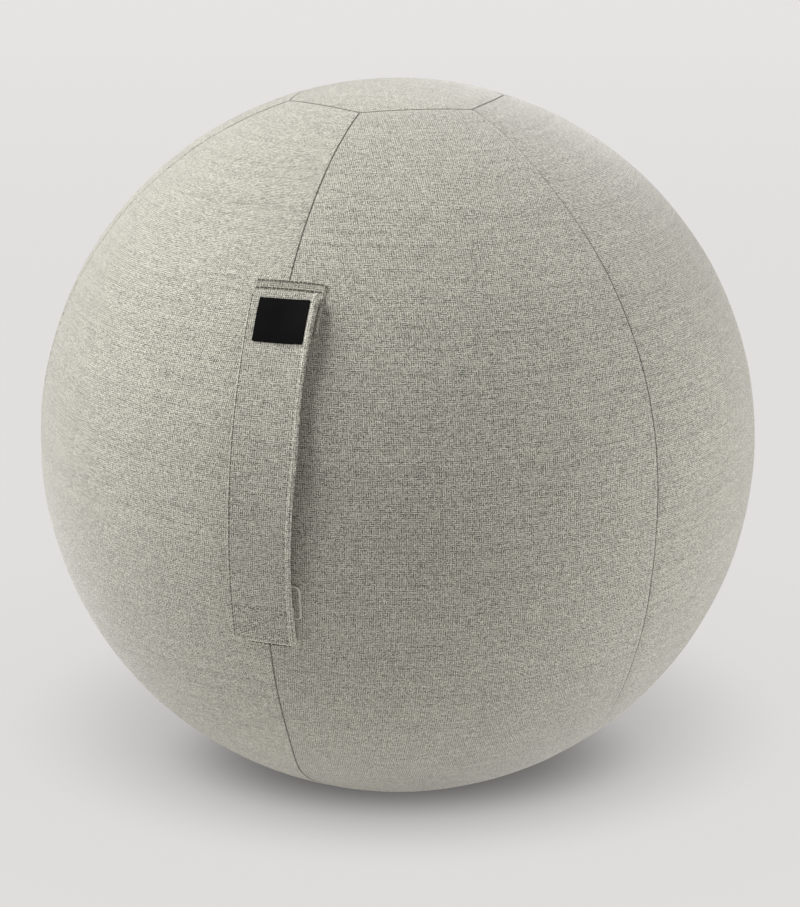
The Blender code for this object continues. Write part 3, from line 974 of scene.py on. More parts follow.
        to_near = ball.radius * np.sin(colat) * (across - start)
        to_far = ball.radius * np.sin(colat) * (end - across)
        to_cap = ball.radius * np.minimum(colat - edge, math.pi - edge - colat)
        nearest = np.minimum.reduce([to_near, to_far, to_cap])
        # Distances for the painted seam shade, weakened in places along the seams
        near_painted_shade = to_near + self.pressed(number - 1, colat)
        dark = np.minimum.reduce([near_painted_shade, to_far + self.pressed(number, colat), to_cap])
        ridge = 1.0 - smooth_step(to_far, self.ridge_reach - self.ridge_fall, self.ridge_reach)
        ridge_height = 0.0 if number == self.zip_seam else self.ridge_height
        lift = ridge_height * ridge * smooth_step(to_cap, 0.0, self.ridge_ease)
        lift = lift + self.unevenness(colat, azimuth)
        outer = ball.place(colat, azimuth, ball.radius + lift - self.drawn_in(nearest))
        inner = ball.place(colat, azimuth, ball.radius - self.thickness)
        flat_x = (across - step / 2) * ball.radius * np.sin(colat)
        weave = np.stack([flat_x, ball.radius * colat + number], -1)
        # Panels 5 and 6 take the lighter copy of the cloth as painted light
        cloth = self.finishes.painted_light_cloth if number > ball.panels - 2 else self.finishes.cloth
        piece = shell(f"cover_side_{number}", outer, inner, cloth, weave, dark)
        settle(piece, Body.BALL, f"side_panel_{number}")

    def cap(self, at_foot: bool) -> None:
        """The six-sided panel at the top, or the one at the foot that is flat where it stands.

        Rings run from the pole to the seam, closer together near the seam.

        Args:
            at_foot: whether it is the lower one.
        """
        ball, rings, columns = self.ball, self.cap_rings, self.cap_columns
        column = np.arange(columns)
        seam = self.cap_edge(column * FULL_TURN / columns) - self.seam_gap / 2 / ball.radius
        shares = np.tanh(self.cap_crowding * np.arange(1, rings + 1) / rings) / math.tanh(self.cap_crowding)
        angle = shares[:, None] * seam[None, :]
        azimuth = np.broadcast_to(column * FULL_TURN / columns, angle.shape)
        to_seam = ball.radius * (seam - angle)
        colat = math.pi - angle if at_foot else angle
        lift = self.unevenness(colat, azimuth) - self.drawn_in(to_seam)
        pole_z = 0.0 if at_foot else ball.centre_z + ball.radius
        inwards = self.thickness if at_foot else -self.thickness
        outer = ball.place(colat, azimuth, ball.radius + lift)
        inner = ball.place(colat, azimuth, ball.radius - self.thickness)
        if at_foot:
            outer[..., 2] = np.maximum(outer[..., 2], 0.0)
            inner[..., 2] = np.maximum(inner[..., 2], self.thickness)
        size = rings * columns
        poles = np.array([[0.0, 0.0, pole_z], [0.0, 0.0, pole_z + inwards]])
        points = np.concatenate([outer.reshape(-1, 3), inner.reshape(-1, 3), poles])
        after = (column + 1) % columns
        last = size - columns
        rim = np.stack([last + column, last + after, size + last + after, size + last + column], -1)
        faces = [quads(rings, columns, True), quads(rings, columns, True, size), rim]
        for side in (0, 1):
            pole = np.full(columns, 2 * size + side)
            faces.append(np.stack([pole, side * size + column, side * size + after], -1))
        flat = ball.radius * angle[..., None] * np.stack([np.sin(azimuth), -np.cos(azimuth)], -1)
        weave = np.concatenate([flat.reshape(-1, 2), flat.reshape(-1, 2), np.zeros((2, 2))]) + CAP_CLOTH
        # Distance to the seam, which sets the painted seam shade
        edge = np.concatenate([to_seam.ravel(), to_seam.ravel(), [1.0, 1.0]])
        name, node = ("cover_foot", "bottom_panel") if at_foot else ("cover_top", "top_panel")
        piece = add_piece(name, points, faces, self.finishes.painted_light_cloth, weave, edge)
        settle(piece, Body.BALL, node)

    def seam_thread(self) -> None:
        """Stitches that cross the bottom of every seam, a little below the cloth."""
        ball, depth = self.ball, self.ball.radius - self.stitch_depth
        colat = self.corner + (math.pi - 2.0 * self.corner) * self.stitch.shares(self.seam_length)
        arc = colat * ball.radius
        lines: list[Stitches] = []
        for seam in range(ball.panels):
            azimuth = seam * ball.panel_angle + self.seam_shift(seam, colat) / (ball.radius * np.sin(colat))
            closed = (arc < self.slot_arc[0]) | (arc > self.slot_arc[1]) | (seam != self.zip_seam)
            spots = ball.place(colat, azimuth, depth)[closed]
            slant = np.full(len(colat), self.stitch_slant)
            slanted = np.stack([np.cos(azimuth), np.sin(azimuth), slant], -1)
            lines.append((spots, slanted[closed], ball.outward(spots)))
        around = self.stitch.count(ball.panels * self.cap_corner_arc)
        azimuth = np.arange(around) * FULL_TURN / around
        for at in (self.cap_edge(azimuth), math.pi - self.cap_edge(azimuth)):
            onwards = ball.place(at + self.cap_slant[0], azimuth + self.cap_slant[1], ball.radius)
            spots = ball.place(at, azimuth, depth)
            lines.append((spots, onwards - ball.place(at, azimuth, ball.radius), ball.outward(spots)))
        settle(self.stitch.sew("seam_thread", lines, self.finishes.seam_thread), Body.BALL)

    def build(self) -> None:
        """Makes every piece of the cover."""
        for number in range(1, self.ball.panels + 1):
            self.side_panel(number)
        self.cap(False)
        self.cap(True)
        self.seam_thread()


@dataclass(frozen=True)
class Patch:
    """Size and place of a flat piece: start is from the strap's top edge, shift from its middle."""

    start: float
    length: float
    width: float
    shift: float
    corner: float
    thickness: float
    rim: float = 0.0


@dataclass
class StrapHandle:
    """The strap over the front seam, the patches under its sewn ends, its label and stitching.

    A place called _at is the middle and the width of a bell. A row of patch stitches is its left
    end, its right end and its height.
    """

    ball: Ball
    finishes: Finishes
    top_arc: float = 0.304
    length: float = 0.2795
    offset: float = 0.0
    layer: float = 0.0027
    under: float = 0.0022
    sewn_height: float = 0.0078
    bow: float = 0.0045
    upper_sewn: float = 0.042
    lower_sewn: float = 0.033
    hug_ease: float = 0.05
    hug_loss: float = 0.75
    wide_half: float = 0.0279
    narrow_half: float = 0.0262
    narrow_from: float = 0.21
    belly: float = 0.0012
    belly_at: Span = (0.125, 0.04)
    loose_lift: float = 0.0072
    loose_spread: float = 0.0024
    loose_at: Span = (0.032, 0.034)
    sway: float = 0.0038
    sway_start: float = -0.0016
    sway_at: Span = (0.138, 0.07)
    groove_depth: float = 0.0004
    groove_at: Span = (0.0018, 0.0007)
    bead_height: float = 0.0006
    bead_at: Span = (0.0025, 0.0016)
    bead_painted_highlight: float = 0.7
    hem_at: Span = (0.0016, 0.0012)
    left_hem_at: Span = (0.0004, 0.0006)
    patch_rim: float = 0.0005
    rim_at: Span = (0.0012, 0.0008)
    roll_share: float = 0.7
    patch_thickness: float = 0.0016
    patch_gap: float = 0.0003
    upper_corner: float = 0.002
    lower_corner: float = 0.0042
    label_patch: Patch = Patch(0.0065, 0.0349, 0.042, 0.002, 0.0012, 0.0008)
    edge_stitch: StitchRow = StitchRow(length=0.0028, gap=0.001, thread=0.0008, sink=0.0005)
    patch_stitch: StitchRow = StitchRow(length=0.0026, gap=0.0009, thread=0.0009, sink=0.0004)
    binding: StitchRow = StitchRow(length=0.0021, gap=-0.001, thread=0.001, sink=0.0007)
    edge_sunk: float = 0.0001
    box_sunk: float = 0.00012
    box_inset: float = 0.004
    box_margins: Span = (0.0015, 0.0045)
    edge_margin: float = 0.003
    edge_knots: int = 13
    painted_highlight_from: float = 0.05
    upper_rows: tuple[float, float, float] = (-0.029, 0.027, 0.0006)
    painted_shadow_row: tuple[float, float, float] = (-0.016, 0.019, -0.0017)
    row_places: tuple[float, float, float] = (0.0016, -0.004, 0.0058)
    binding_step: float = 0.0005
    binding_shift: float = 0.8
    fold_steps: int = 13
    tail_steps: tuple[int, int] = (14, 10)
    face_steps: int = 178
    columns: int = 65
    crowding: float = 2.4
    corner_steps: int = 12
    patch_rows: int = 18
    patch_columns: int = 41
    patch_crowding: float = 2.6
    patches_made: dict[str, Patch] = field(default_factory=dict)

    def __post_init__(self) -> None:
        """Reads the strap's place across the seam from the grip's own box."""
        low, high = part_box("handle_grip")
        self.offset = (low.x + high.x) / 2

    def top_height(self, along: Array) -> Array:
        """Height of the outer face: level at the sewn ends, bowed by sin^2 between them.

        Args:
            along: distance from the top edge.

        Returns:
            The height over the ball.
        """
        free_end = self.length - self.lower_sewn
        free = np.clip((along - self.upper_sewn) / (free_end - self.upper_sewn), 0.0, 1.0)
        return self.sewn_height + self.bow * np.sin(math.pi * free) ** 2

    def hug(self, along: Array) -> Array:
        """How much the strap follows the ball's round face across: all at its ends, little between.

        Args:
            along: distance from the top edge.

        Returns:
            The share, up to 1.
        """
        start = smooth_step(along, self.upper_sewn, self.upper_sewn + self.hug_ease)
        end = smooth_step(self.length - along, self.lower_sewn, self.lower_sewn + self.hug_ease)
        return 1.0 - self.hug_loss * start * end

    def half_width(self, along: Array) -> Array:
        """Half width: wide at the top, eased in to the narrow width, with a slight belly.

        Args:
            along: distance from the top edge.

        Returns:
            The half width.
        """
        share = np.clip(1.0 - along / self.narrow_from, 0.0, 1.0)
        belly = self.belly * bell(along, *self.belly_at)
        return self.narrow_half + (self.wide_half - self.narrow_half) * share**2 + belly

    def loose(self, along: Array, x: Array) -> Array:
        """How far the right edge stands away beside the label, 0 to 1: (x/w)^2 times a bell."""
        return bell(along, *self.loose_at) * np.clip(x / self.wide_half, 0.0, 1.0) ** 2

    def across(self, along: Array, x: Array) -> Array:
        """Place across the seam: the strap hangs in a slight curve, a constant and a bell."""
        curve = self.sway_start + self.sway * bell(along, *self.sway_at)
        return self.offset + curve + x + self.loose_spread * self.loose(along, x)

    def sink(self, along: Array, x: Array) -> Array:
        """Depth under the middle line: the ball's fall, less the lift of the loose right edge."""
        return self.ball.fall(x) * self.hug(along) - self.loose_lift * self.loose(along, x)

    def skin(self, along: Array, x: Array, lift: Array | float = 0.0) -> Array:
        """Points over the strap's outer face, at a distance from its top edge and across."""
        height = self.top_height(along) - self.sink(along, x) + lift
        return self.ball.beside_seam(self.top_arc + along, self.across(along, x), height, -1)

    def cover_skin(self, along: Array, x: Array, lift: Array | float = 0.0) -> Array:
        """Points over the cover under the strap, at a distance from its top edge and across."""
        height = lift - self.ball.fall(self.offset + x)
        return self.ball.beside_seam(self.top_arc + along, self.offset + x, height, -1)

    def path(self) -> tuple[Array, Array]:
        """The strap's centreline: up under its top end, over the fold, down, and under at the foot.

        Returns:
            Distance from the top edge and height over the ball, at each point.
        """
        half = (self.sewn_height - self.under) / 4
        turn = np.linspace(0.0, math.pi, self.fold_steps)[1:-1]
        low, top, foot = self.under + half, 2 * half, self.length - 2 * half
        top_tail = np.linspace(self.upper_sewn, top, self.tail_steps[0])
        out = np.linspace(top, foot, self.face_steps)
        foot_tail = np.linspace(foot, self.length - self.lower_sewn, self.tail_steps[1])
        top_fold, foot_fold = top - half * np.sin(turn), foot + half * np.sin(turn)
        along = np.concatenate([top_tail, top_fold, out, foot_fold, foot_tail])
        up, down = low + half * (1.0 - np.cos(turn)), low + half * (1.0 + np.cos(turn))
        level_top, level_foot = np.full(len(top_tail), low), np.full(len(foot_tail), low)
        return along, np.concatenate([level_top, up, self.top_height(out) - half, down, level_foot])

    def strap(self) -> None:
        """The strap: a flat section with round edges and a stitched groove, carried along its path.

        The section's half thickness is t/2 sqrt(1 - (1 - 2e/t)^2) at a distance e under t/2 from
        the edge, less a bell-shaped groove on the left, plus a bell-shaped bead on the right.
        """
        along, height = self.path()
        half_width = self.half_width(along)[:, None]
        x = half_width * crowded(self.columns, self.crowding)
        inset = half_width - np.abs(x)
        half_layer = self.layer / 2
        round_edge = np.clip(1.0 - inset / half_layer, 0.0, 1.0)
        groove = bell(inset, *self.groove_at) * self.groove_depth * (inset > half_layer / 2) * (x < 0.0)
        bead = bell(inset, *self.bead_at) * (x > 0.0)
        relief = (bead * self.bead_height - groove) * (round_edge < 1.0)
        thick = (half_layer * np.sqrt(1.0 - round_edge**2) + relief)[..., None]

        centre = self.ball.beside_seam(self.top_arc + along, 0.0, height, -1)
        sideways = np.array([1.0, 0.0, 0.0])
        normal = np.cross(unit(np.gradient(centre, axis=0)), sideways)[:, None, :]
        spread = centre[:, None, :] + self.across(along[:, None], x)[..., None] * sideways
        sunk = self.ball.outward(centre)[:, None, :] * self.sink(along[:, None], x)[..., None]
        upper, lower = spread - sunk + normal * thick, spread - sunk - normal * thick

        def ring(outer: Array, inner: Array) -> Array:
            """Columns round the section: the outer face's, then the inner face's without its ends."""
            return np.concatenate([outer, inner[:, -2:0:-1]], axis=1)

        points, flat_x = ring(upper, lower), ring(x, x)
        rows, columns = points.shape[:2]
        weave = np.stack(np.broadcast_arrays(flat_x, run_along(centre)[:, None]), -1) + STRAP_CLOTH
        # Painted highlights: pale lines on the bottom fold, the left edge and the right bead, as if
        # catching light
        hem = bell(self.length - along[:, None], *self.hem_at)
        left = bell(inset, *self.left_hem_at) * (x < 0.0)
        pale = np.maximum(np.maximum(hem, left), self.bead_painted_highlight * bead)
        edge = np.where(pale > self.painted_highlight_from, 1.0 + pale, inset + PAINTED_SEAM_SHADE_REACH)

        wide = upper.shape[1]
        outer = np.arange(wide)
        opposite = np.concatenate([[0], np.arange(columns - 1, wide - 1, -1), [wide - 1]])
        faces = [quads(rows, columns, True)]
        for start in (0, (rows - 1) * columns):
            end = np.stack([outer[:-1], outer[1:], opposite[1:], opposite[:-1]], -1) + start
            faces += [end[:1, :3], end[1:-1], end[-1:, [0, 1, 3]]]
        piece = add_piece("handle_strap", points, faces, self.finishes.cloth, weave, ring(edge, edge))
        self.bend(piece)
        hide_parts("handle_upper_end", "handle_grip", "handle_lower_end")

    def bend(self, piece: Piece) -> None:
        """Bakes a piece's transform into its mesh; the points of the strap's sewn ends are worked out but
        not used.

        Args:
            piece: the piece.
        """
        sewn = self.skin(np.array([self.upper_sewn, self.length - self.lower_sewn]), np.zeros(2))
        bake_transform(piece)

    def flat_piece(self, name: str, patch: Patch, skin: Skin, coat: Coat) -> Piece:
        """A patch with round corners that lies on the cover or on the strap.

        Rows run down the patch; each row's half width eases in at the corners by r(1 - sin).

        Args:
            name: the piece's name.
            patch: its size and place.
            skin: points of the face that it lies on.
            coat: its finish.

        Returns:
            The piece.
        """
        corner, length, thickness = patch.corner, patch.length, patch.thickness
        turn = np.linspace(0.0, math.pi / 2, self.corner_steps)
        inset, narrow = corner * (1.0 - np.cos(turn)), corner * (1.0 - np.sin(turn))
        plain = np.linspace(corner, length - corner, self.patch_rows)[1:-1]
        down = np.concatenate([inset, plain, length - inset[::-1]])[:, None]
        narrowed = np.concatenate([narrow, np.zeros(len(plain)), narrow[::-1]])
        half = (patch.width / 2 - narrowed)[:, None]
        x = half * crowded(self.patch_columns, self.patch_crowding)
        inside = np.minimum(half - np.abs(x), np.minimum(down, length - down))
        roll = thickness * self.roll_share
        turned = np.clip(1.0 - inside / roll, 0.0, 1.0)
        drop = roll * (1.0 - np.sqrt(1.0 - turned**2)) - patch.rim * bell(inside, *self.rim_at)
        along, place = patch.start + down, patch.shift + x
        upper = skin(along, place, self.patch_gap + thickness - drop)
        lower = skin(along, place, self.patch_gap)
        weave = np.stack(np.broadcast_arrays(x, down), -1) + PATCH_CLOTH + patch.start
        return shell(name, upper, lower, coat, weave, inside + PAINTED_SEAM_SHADE_REACH)

    def patches(self) -> None:
        """The cloth patches between the ball and the strap's sewn ends.

        Each has a width, a shift across, how far its top edge is moved and its length changed from
        the solid's, and the radius of its corners.
        """
        sizes = (
            ("patch_upper", "upper_patch", 0.059, -0.0008, -0.002, 0.0, self.upper_corner),
            ("patch_lower", "lower_patch", 0.0545, 0.0026, -0.001, -0.02, self.lower_corner),
        )
        for name, node, width, shift, moved, cut, corner in sizes:
            top, foot = self.ball.span(node)
            start, length = top - self.top_arc + moved, foot - top + cut
            patch = Patch(start, length, width, shift, corner, self.patch_thickness, self.patch_rim)
            self.patches_made[node] = patch
            piece = self.flat_piece(name, patch, self.cover_skin, self.finishes.patch_cloth_painted_shade)
            settle(piece, Body.BALL, node)

    def label(self) -> None:
        """The bare black label on the strap's upper end."""
        piece = self.flat_piece("strap_label", self.label_patch, self.skin, self.finishes.label)
        settle(piece, Body.BALL, "label")

    def stitch_line(self, row: StitchRow, start: Span, end: Span, lift: float, skin: Skin) -> Stitches:
        """Places of stitches on a face from one point to another.

        Args:
            row: the stitches.
            start: distance from the top edge, and distance across.
            end: the same for the last stitch.
            lift: their height over the face.
            skin: the face's points.

        Returns:
            Middles, runs and lifts.
        """
        first, last = np.array(start), np.array(end)
        shares = row.shares(float(np.linalg.norm(last - first)))
        spots = first + (last - first) * shares[:, None]
        step = (last - first) / len(shares) * RUN_SHARE
        middles = skin(spots[:, 0], spots[:, 1], lift)
        runs = skin(spots[:, 0] + step[0], spots[:, 1] + step[1], lift) - middles
        return middles, runs, self.ball.outward(middles)

    def stitching(self) -> None:
        """Edge stitches down both sides and the crossed box at the lower end."""
        row, lines = self.edge_stitch, []
        knots = np.linspace(self.edge_margin, self.length - self.edge_margin, self.edge_knots)
        for side, inset in ((-1, self.groove_at[0]), (1, 2 * self.bead_at[0])):
            ends = list(zip(knots, side * (self.half_width(knots) - inset)))
            for start, end in zip(ends[:-1], ends[1:]):
                lines.append(self.stitch_line(row, start, end, -self.edge_sunk, self.skin))
        half = self.narrow_half - self.box_inset
        top = self.length - self.lower_sewn + self.box_margins[0]
        foot = self.length - self.box_margins[1]
        corners = [(top, -half), (top, half), (foot, half), (foot, -half)]
        for first, last in ((0, 1), (1, 2), (2, 3), (3, 0), (0, 2), (1, 3)):
            line = self.stitch_line(row, corners[first], corners[last], -self.box_sunk, self.skin)
            lines.append(line)
        self.bend(row.sew("strap_stitching", lines, self.finishes.stitch_thread))

    def patch_stitching(self) -> None:
        """Two rows on the upper patch, over the strap's top edge, and one of dark stitches under the
        strap's foot that stands in for the shadow there: painted shade.
        """
        row, face = self.patch_stitch, self.patch_gap + self.patch_thickness
        first, second, third = self.row_places
        top, foot = self.patches_made["upper_patch"].start + first, self.length + third
        rows = ((top, *self.upper_rows), (second, *self.upper_rows), (foot, *self.painted_shadow_row))
        lines = [
            self.stitch_line(row, (down, left), (down, right), face + lift, self.cover_skin)
            for down, left, right, lift in rows
        ]
        settle(row.sew("patch_stitching", lines, self.finishes.stitch_thread), Body.BALL)

    def patch_binding(self) -> None:
        """Close stitches over the lower patch's edge, round a loop of four sides and round corners."""
        row, patch = self.binding, self.patches_made["lower_patch"]
        quarter = np.linspace(0.0, math.pi / 2, self.corner_steps)
        turn = quarter + np.arange(4)[:, None] * math.pi / 2
        x = np.array([[1.0], [1.0], [-1.0], [-1.0]]) * (patch.width / 2 - patch.corner)
        y = np.array([[-1.0], [1.0], [1.0], [-1.0]]) * (patch.length / 2 - patch.corner)
        loop = np.stack([x + patch.corner * np.sin(turn), y - patch.corner * np.cos(turn)], -1)
        loop = np.concatenate([loop.reshape(-1, 2), loop[0, :1]])
        run = run_along(loop)
        count = row.count(run[-1])
        places = np.arange(count) * run[-1] / count
        across, along = (np.interp(places, run, loop[:, axis]) for axis in (0, 1))
        away = unit(np.stack([np.gradient(along), -np.gradient(across)], -1)) * self.binding_step
        down, aside = patch.start + patch.length / 2 + along, patch.shift + across
        face = self.patch_gap + self.patch_thickness - self.edge_sunk
        points = self.cover_skin(down, aside, face)
        runs = self.cover_skin(down + away[:, 1], aside + away[:, 0], face) - points
        lines = [(points - self.binding_shift * runs, runs, self.ball.outward(points))]
        settle(row.sew("patch_binding", lines, self.finishes.binding_thread_painted_highlight), Body.BALL)

    def build(self) -> None:
        """Makes every piece of the handle."""
        self.patches()
        self.patch_stitching()
        self.patch_binding()
        self.strap()
        self.label()
        self.stitching()


@dataclass
class RearZip:
    """The zip on the rear seam: tapes, coils, stops, slider and pull."""

    ball: Ball
    finishes: Finishes
    tape_heights: Span = (-0.0009, -0.0015)
    tape_rows: int = 120
    tape_columns: int = 9
    coil_pitch: float = 0.0015
    coil_gap: float = 0.0001
    coil_height: float = 0.0002
    coil_half: float = 0.0008
    coil_steps: int = 12
    wire: float = 0.00066
    merge: float = 0.00001
    flat_angle: float = math.radians(2.0)
    bevel: float = 0.00022
    bevel_segments: int = 2
    bevel_angle: float = math.radians(35.0)
    stitch: StitchRow = StitchRow(length=0.0027, gap=0.0008, thread=0.0006, sink=0.0004)
    stitch_inset: float = 0.0024
    stitch_lift: float = 0.0001

    def tape(self, side: str) -> None:
        """One woven tape, left or right, as a thin curved strip.

        Args:
            side: left or right.
        """
        node = f"zip_tape_{side}"
        low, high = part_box(node)
        arc = np.linspace(*self.ball.span(node), self.tape_rows)[:, None]
        x = np.linspace(low.x, high.x, self.tape_columns)[None, :]
        upper, lower = (self.ball.beside_seam(arc, x, height, 1) for height in self.tape_heights)
        flat = np.stack(np.broadcast_arrays(x, arc), -1)
        piece = shell(f"{node}_woven", upper, lower, self.finishes.tape, flat, np.ones(flat.shape[:2]))
        settle(piece, Body.BALL, node)

    def coil(self, side: str) -> None:
        """One nylon coil: a round wire along a flattened helix that runs down the seam.

        Args:
            side: left or right; the right one is half a turn further on.
        """
        node, wire = f"zip_coil_{side}", self.wire
        low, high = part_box(node)
        start, end = self.ball.span(node)
        hand, shift = (1.0, 0.0) if side == "left" else (-1.0, self.coil_pitch / 2)
        outer = max(abs(low.x), abs(high.x))
        turns = int((end - start) / self.coil_pitch)
        phase = np.linspace(0.0, FULL_TURN * turns, turns * self.coil_steps + 1)
        reach = (outer - self.coil_gap - wire) / 2
        x = hand * (outer - wire / 2 - reach - reach * np.cos(phase))
        height = self.coil_height + (self.coil_half - wire / 2) * np.sin(phase)
        arc = start + wire + (end - start - 2 * wire - self.coil_pitch) * (phase / phase[-1])
        centre = self.ball.beside_seam(arc + shift, x, height, 1)
        tangent = unit(np.gradient(centre, axis=0))
        across = unit(np.cross(tangent, self.ball.outward(centre)))
        points = centre[:, None, :] + wire / 2 * tube_ring(across, np.cross(across, tangent))
        piece = add_piece(f"{node}_wire", points, [tube_faces(len(phase))], self.finishes.nylon)
        settle(piece, Body.BALL, node)

    def softened(self, node: str, body: Body, coat: Coat) -> None:
        """A copy of a small solid with its edges rounded.

        Args:
            node: the solid.
            body: the body that it moves with.
            coat: its finish.
        """
        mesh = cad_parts[node].data.copy()
        mesh.materials.clear()
        mesh.materials.append(coat.material)
        work = bmesh.new()
        work.from_mesh(mesh)
        bmesh.ops.remove_doubles(work, verts=work.verts, dist=self.merge)
        bmesh.ops.dissolve_limit(work, angle_limit=self.flat_angle, verts=work.verts, edges=work.edges)
        work.to_mesh(mesh)
        work.free()
        mesh.shade_smooth()
        piece = add_object(f"{node}_rounded", mesh)
        bevel = piece.modifiers.new("rounded_edges", "BEVEL")
        bevel.width = self.bevel
        bevel.segments = self.bevel_segments
        bevel.limit_method = "ANGLE"
        bevel.angle_limit = self.bevel_angle
        bevel.harden_normals = True
        settle(piece, body, node)
        LOG.info("%s: edges rounded", piece.name)

    def topstitch(self, cover: SewnCover) -> None:
        """A row of stitches down each side of the zip, on the cover's edges.

        Args:
            cover: the cover, for the slot's size.
        """
        start, end = cover.slot_arc
        arc = start + (end - start) * self.stitch.shares(end - start)
        lines = []
        for hand in (-1, 1):
            x = np.full(len(arc), hand * (cover.slot_half_width + self.stitch_inset))
            drawn = cover.drawn_in(np.full(len(arc), self.stitch_inset))
            spots = self.ball.beside_seam(arc, x, self.stitch_lift - self.ball.fall(x) - drawn, 1)
            lines.append((spots, np.gradient(spots, axis=0), self.ball.outward(spots)))
        settle(self.stitch.sew("zip_topstitch", lines, self.finishes.stitch_thread), Body.BALL)

    def build(self, cover: SewnCover) -> None:
        """Makes every piece of the zip.

        Args:
            cover: the cover, for the slot's size.
        """
        for make in (self.tape, self.coil):
            for side in ("left", "right"):
                make(side)
        self.topstitch(cover)
        for node in ("zip_stop_top", "zip_stop_bottom"):
            self.softened(node, Body.BALL, self.finishes.nylon)
        for body in (Body.SLIDER, Body.PULL):
            self.softened(body.value, body, self.finishes.metal)


@dataclass
class InnerBall:
    """The air-filled ball and its plug, which the cover hides."""

    finishes: Finishes

    def dress(self) -> None:
        """Gives the two solids their finishes."""
        for node, coat in (("inner_ball", self.finishes.vinyl), ("air_plug", self.finishes.plug)):
            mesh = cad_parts[node].data
            mesh.materials.clear()
            mesh.materials.append(coat.material)
            LOG.info("%s: finish set", node)


@dataclass(frozen=True)
class FloorFinish(Finish):
    """The pale floor's own shader; the studio adds its painted shadow and backdrop."""

    colour: Colour = (0.72, 0.71, 0.695)
    roughness: float = 0.9
    shine: float = 0.1
    glow: float = 0.23

    def sockets(self, board: Board) -> dict[str, Any]:
        """Constants only.

        Args:
            board: the material's board.

        Returns:
            What the shader's sockets are fed.
        """
        return {
            "Base Color": self.colour,
            "Roughness": self.roughness,
            "Specular IOR Level": self.shine,
            "Emission Color": (1.0, 1.0, 1.0),
            "Emission Strength": self.glow,
        }


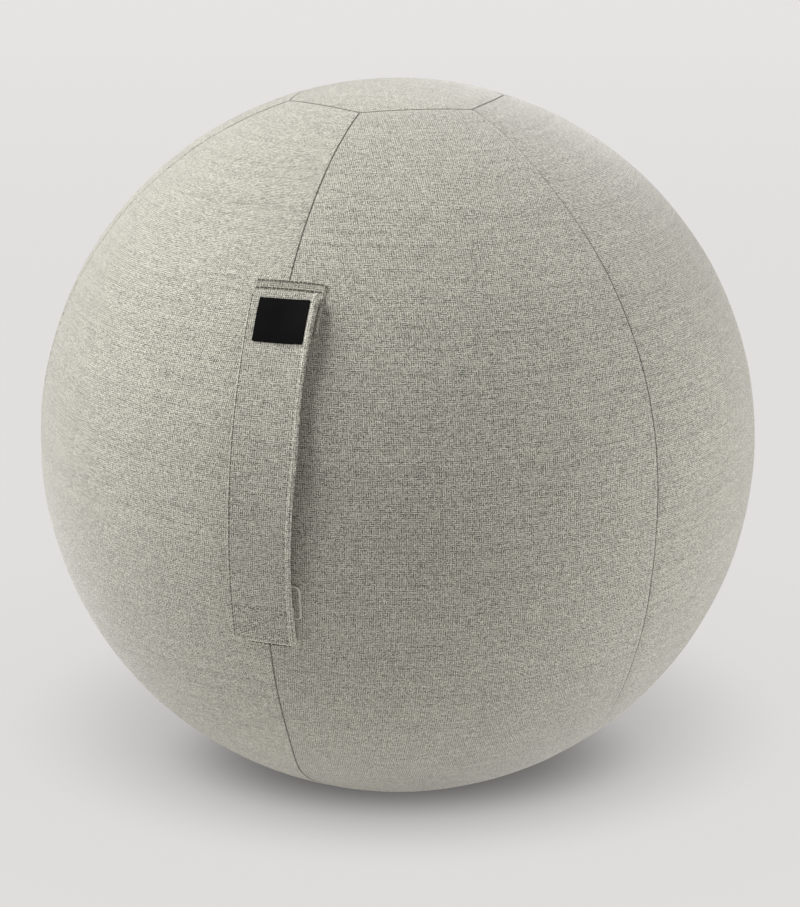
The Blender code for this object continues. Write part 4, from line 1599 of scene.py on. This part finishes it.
@dataclass
class Studio:
    """Plain pale floor, soft light and the photograph's camera."""

    ball: Ball
    image_size: Span = (800.0, 907.0)
    ball_pixel: Span = (397.8, 435.3)
    focal_pixels: float = 1931.0
    azimuth: float = math.radians(19.3)
    elevation: float = 17.7
    distance_in_radii: float = 5.5
    sensor: float = 36.0
    clip_start: float = 0.01
    backdrop: Colour = (0.752, 0.738, 0.724)
    far_gain: float = 0.05
    far_back: Span = (1.0, 8.0)
    far_round: Span = (4.0, 14.0)
    lamp_distance: float = 2.4
    floor_reach: float = 40.0
    shadow_reach: float = 0.3
    shadow_depth: float = 0.68
    shadow_shift: float = 0.092
    shadow_stretch: Span = (0.86, 1.12)
    shadow_fade: Span = (0.19, 0.37)
    wide_shadow: float = 0.03
    wide_fade: Span = (0.25, 0.75)
    touch_size: Span = (0.163, 0.1)
    touch_shift: float = 0.006
    touch_level: float = 0.22
    touch_fade: Span = (0.56, 1.5)
    plain_share: float = 0.88
    plain_fade: Span = (0.15, 0.36)
    shadow_samples: int = 16

    def way(self, turn: float, elevation: float) -> Array:
        """The way from the ball to a place round it.

        Args:
            turn: degrees to the right of the camera.
            elevation: degrees above the ball's centre.

        Returns:
            The way, at length 1.
        """
        azimuth, rise = self.azimuth + math.radians(turn), math.radians(elevation)
        level = math.cos(rise)
        return np.array([math.sin(azimuth) * level, -math.cos(azimuth) * level, math.sin(rise)])

    def aim(self, thing: Piece, place: Array, ahead: Array, axis: str) -> None:
        """Puts a camera or lamp in its place, with one of its axes along a line.

        Args:
            thing: the camera or lamp.
            place: where it stands.
            ahead: the line's direction.
            axis: the axis that lies along it.
        """
        thing.location = place
        thing.rotation_mode = "QUATERNION"
        thing.rotation_quaternion = Vector(ahead).to_track_quat(axis, "Y")

    def camera(self) -> None:
        """The camera at the photograph's angle, aimed so that the ball falls where it does there."""
        back = self.way(0.0, self.elevation)
        right = np.array([math.cos(self.azimuth), math.sin(self.azimuth), 0.0])
        up = np.cross(back, right)
        distance = self.distance_in_radii * self.ball.radius
        metres = distance / self.focal_pixels
        aside, below = (size / 2 - at for size, at in zip(self.image_size, self.ball_pixel))
        ahead = (right * aside - up * below) * metres - back * distance
        data = bpy.data.cameras.new("camera")
        data.sensor_width = self.sensor
        data.lens = self.focal_pixels * self.sensor / self.image_size[1]
        data.clip_start = self.clip_start
        thing = add_object("camera", data)
        self.aim(thing, self.ball.centre + back * distance, ahead, "-Z")
        bpy.context.scene.camera = thing

    def lamp(self, name: str, turn: float, elevation: float, power: float, size: float) -> None:
        """A square soft light that faces the ball.

        Args:
            name: its name.
            turn: degrees to the right of the camera, seen from the ball.
            elevation: degrees above the ball's centre.
            power: its power in watts.
            size: the length of its sides.
        """
        data = bpy.data.lights.new(name, "AREA")
        data.size = size
        data.energy = power
        way = self.way(turn, elevation)
        self.aim(add_object(name, data), way * self.lamp_distance + self.ball.centre, way, "Z")

    def lights(self) -> None:
        """Soft lights from the upper left, the upper right, both sides and behind."""
        for lamp in LAMPS:
            self.lamp(*lamp)

    def floor(self) -> None:
        """A wide pale floor, drawn near the backdrop's colour, that keeps the ball's shadow.

        The shadow is painted into the floor's glow: the ball's own cover of the sky, a wide soft ellipse
        and a dark one where the ball touches, and the floor grows lighter far away.
        """
        mesh = bpy.data.meshes.new("floor")
        corners = np.array([(-1, -1, 0), (1, -1, 0), (1, 1, 0), (-1, 1, 0)]) * self.floor_reach
        mesh.from_pydata(corners.tolist(), [], [(0, 1, 2, 3)])
        coat = FloorFinish("floor", None).make()
        board = coat.board
        x, y = board.split(board.place())
        sine, cosine = math.sin(self.azimuth), math.cos(self.azimuth)
        right, back = x * cosine + y * sine, y * cosine - x * sine
        aside = right * self.shadow_stretch[0]
        behind = (back - self.shadow_shift) * self.shadow_stretch[1]
        away = (aside * aside + behind * behind) ** 0.5
        beside, before = (right - self.touch_shift) / self.touch_size[0], back / self.touch_size[1]
        touching = (beside * beside + before * before) ** 0.5
        # Painted shadow: a dark ellipse on the floor where the ball touches
        touch = touching.fade(*self.touch_fade) * (1.0 - self.touch_level) + self.touch_level
        settings, values = {"samples": self.shadow_samples}, {"Distance": self.shadow_reach}
        sky = board.value("AO", "AmbientOcclusion", settings, values)
        covered = (1.0 - sky) * (1.0 - away.fade(*self.shadow_fade))
        rays = board.node("LightPath")
        seen = Value(board, rays.outputs["Is Camera Ray"]) + Value(board, rays.outputs["Is Glossy Ray"])
        wide = 1.0 - (1.0 - away.fade(*self.wide_fade)) * self.wide_shadow
        near = (1.0 - behind.fade(*self.far_back)) * (1.0 - away.fade(*self.far_round))
        far = (1.0 - near) * self.far_gain + 1.0
        shaded = board.tint(self.backdrop, (1.0 - covered * self.shadow_depth) * wide * far * touch)
        glow = board.value(0, "Emission", None, {"Color": shaded})
        share = away.fade(*self.plain_fade) * (1.0 - self.plain_share) + self.plain_share
        surfaces = {0: seen * share, 1: Value(board, coat.shader.outputs[0]), 2: glow}
        surface = board.value(0, "MixShader", None, surfaces)
        board.feed(board.tree.nodes["Material Output"], {"Surface": surface})
        mesh.materials.append(coat.material)
        add_object("floor", mesh)

    def world(self) -> None:
        """Darkness all round, seen by the camera as the backdrop's colour."""
        world = bpy.data.worlds.new("studio")
        world.use_nodes = True
        board = Board(world.node_tree)
        far = tuple(part * (1.0 + self.far_gain) for part in self.backdrop)
        seen = board.value("Is Camera Ray", "LightPath")
        board.feed(world.node_tree.nodes["Background"], {"Color": far, "Strength": seen})
        bpy.context.scene.world = world

    def build(self) -> None:
        """Sets the stage."""
        bpy.context.scene.view_settings.view_transform = "Standard"
        self.camera()
        self.lights()
        self.floor()
        self.world()


def main() -> None:
    """Builds every sub-assembly in order."""
    logging.basicConfig(level=logging.INFO, format="%(name)s %(message)s")
    ball = Ball.from_frame()
    finishes = Finishes()
    Studio(ball).build()
    cover = SewnCover(ball, finishes)
    cover.build()
    StrapHandle(ball, finishes).build()
    RearZip(ball, finishes).build(cover)
    InnerBall(finishes).dress()


if __name__ == "__main__":
    main()
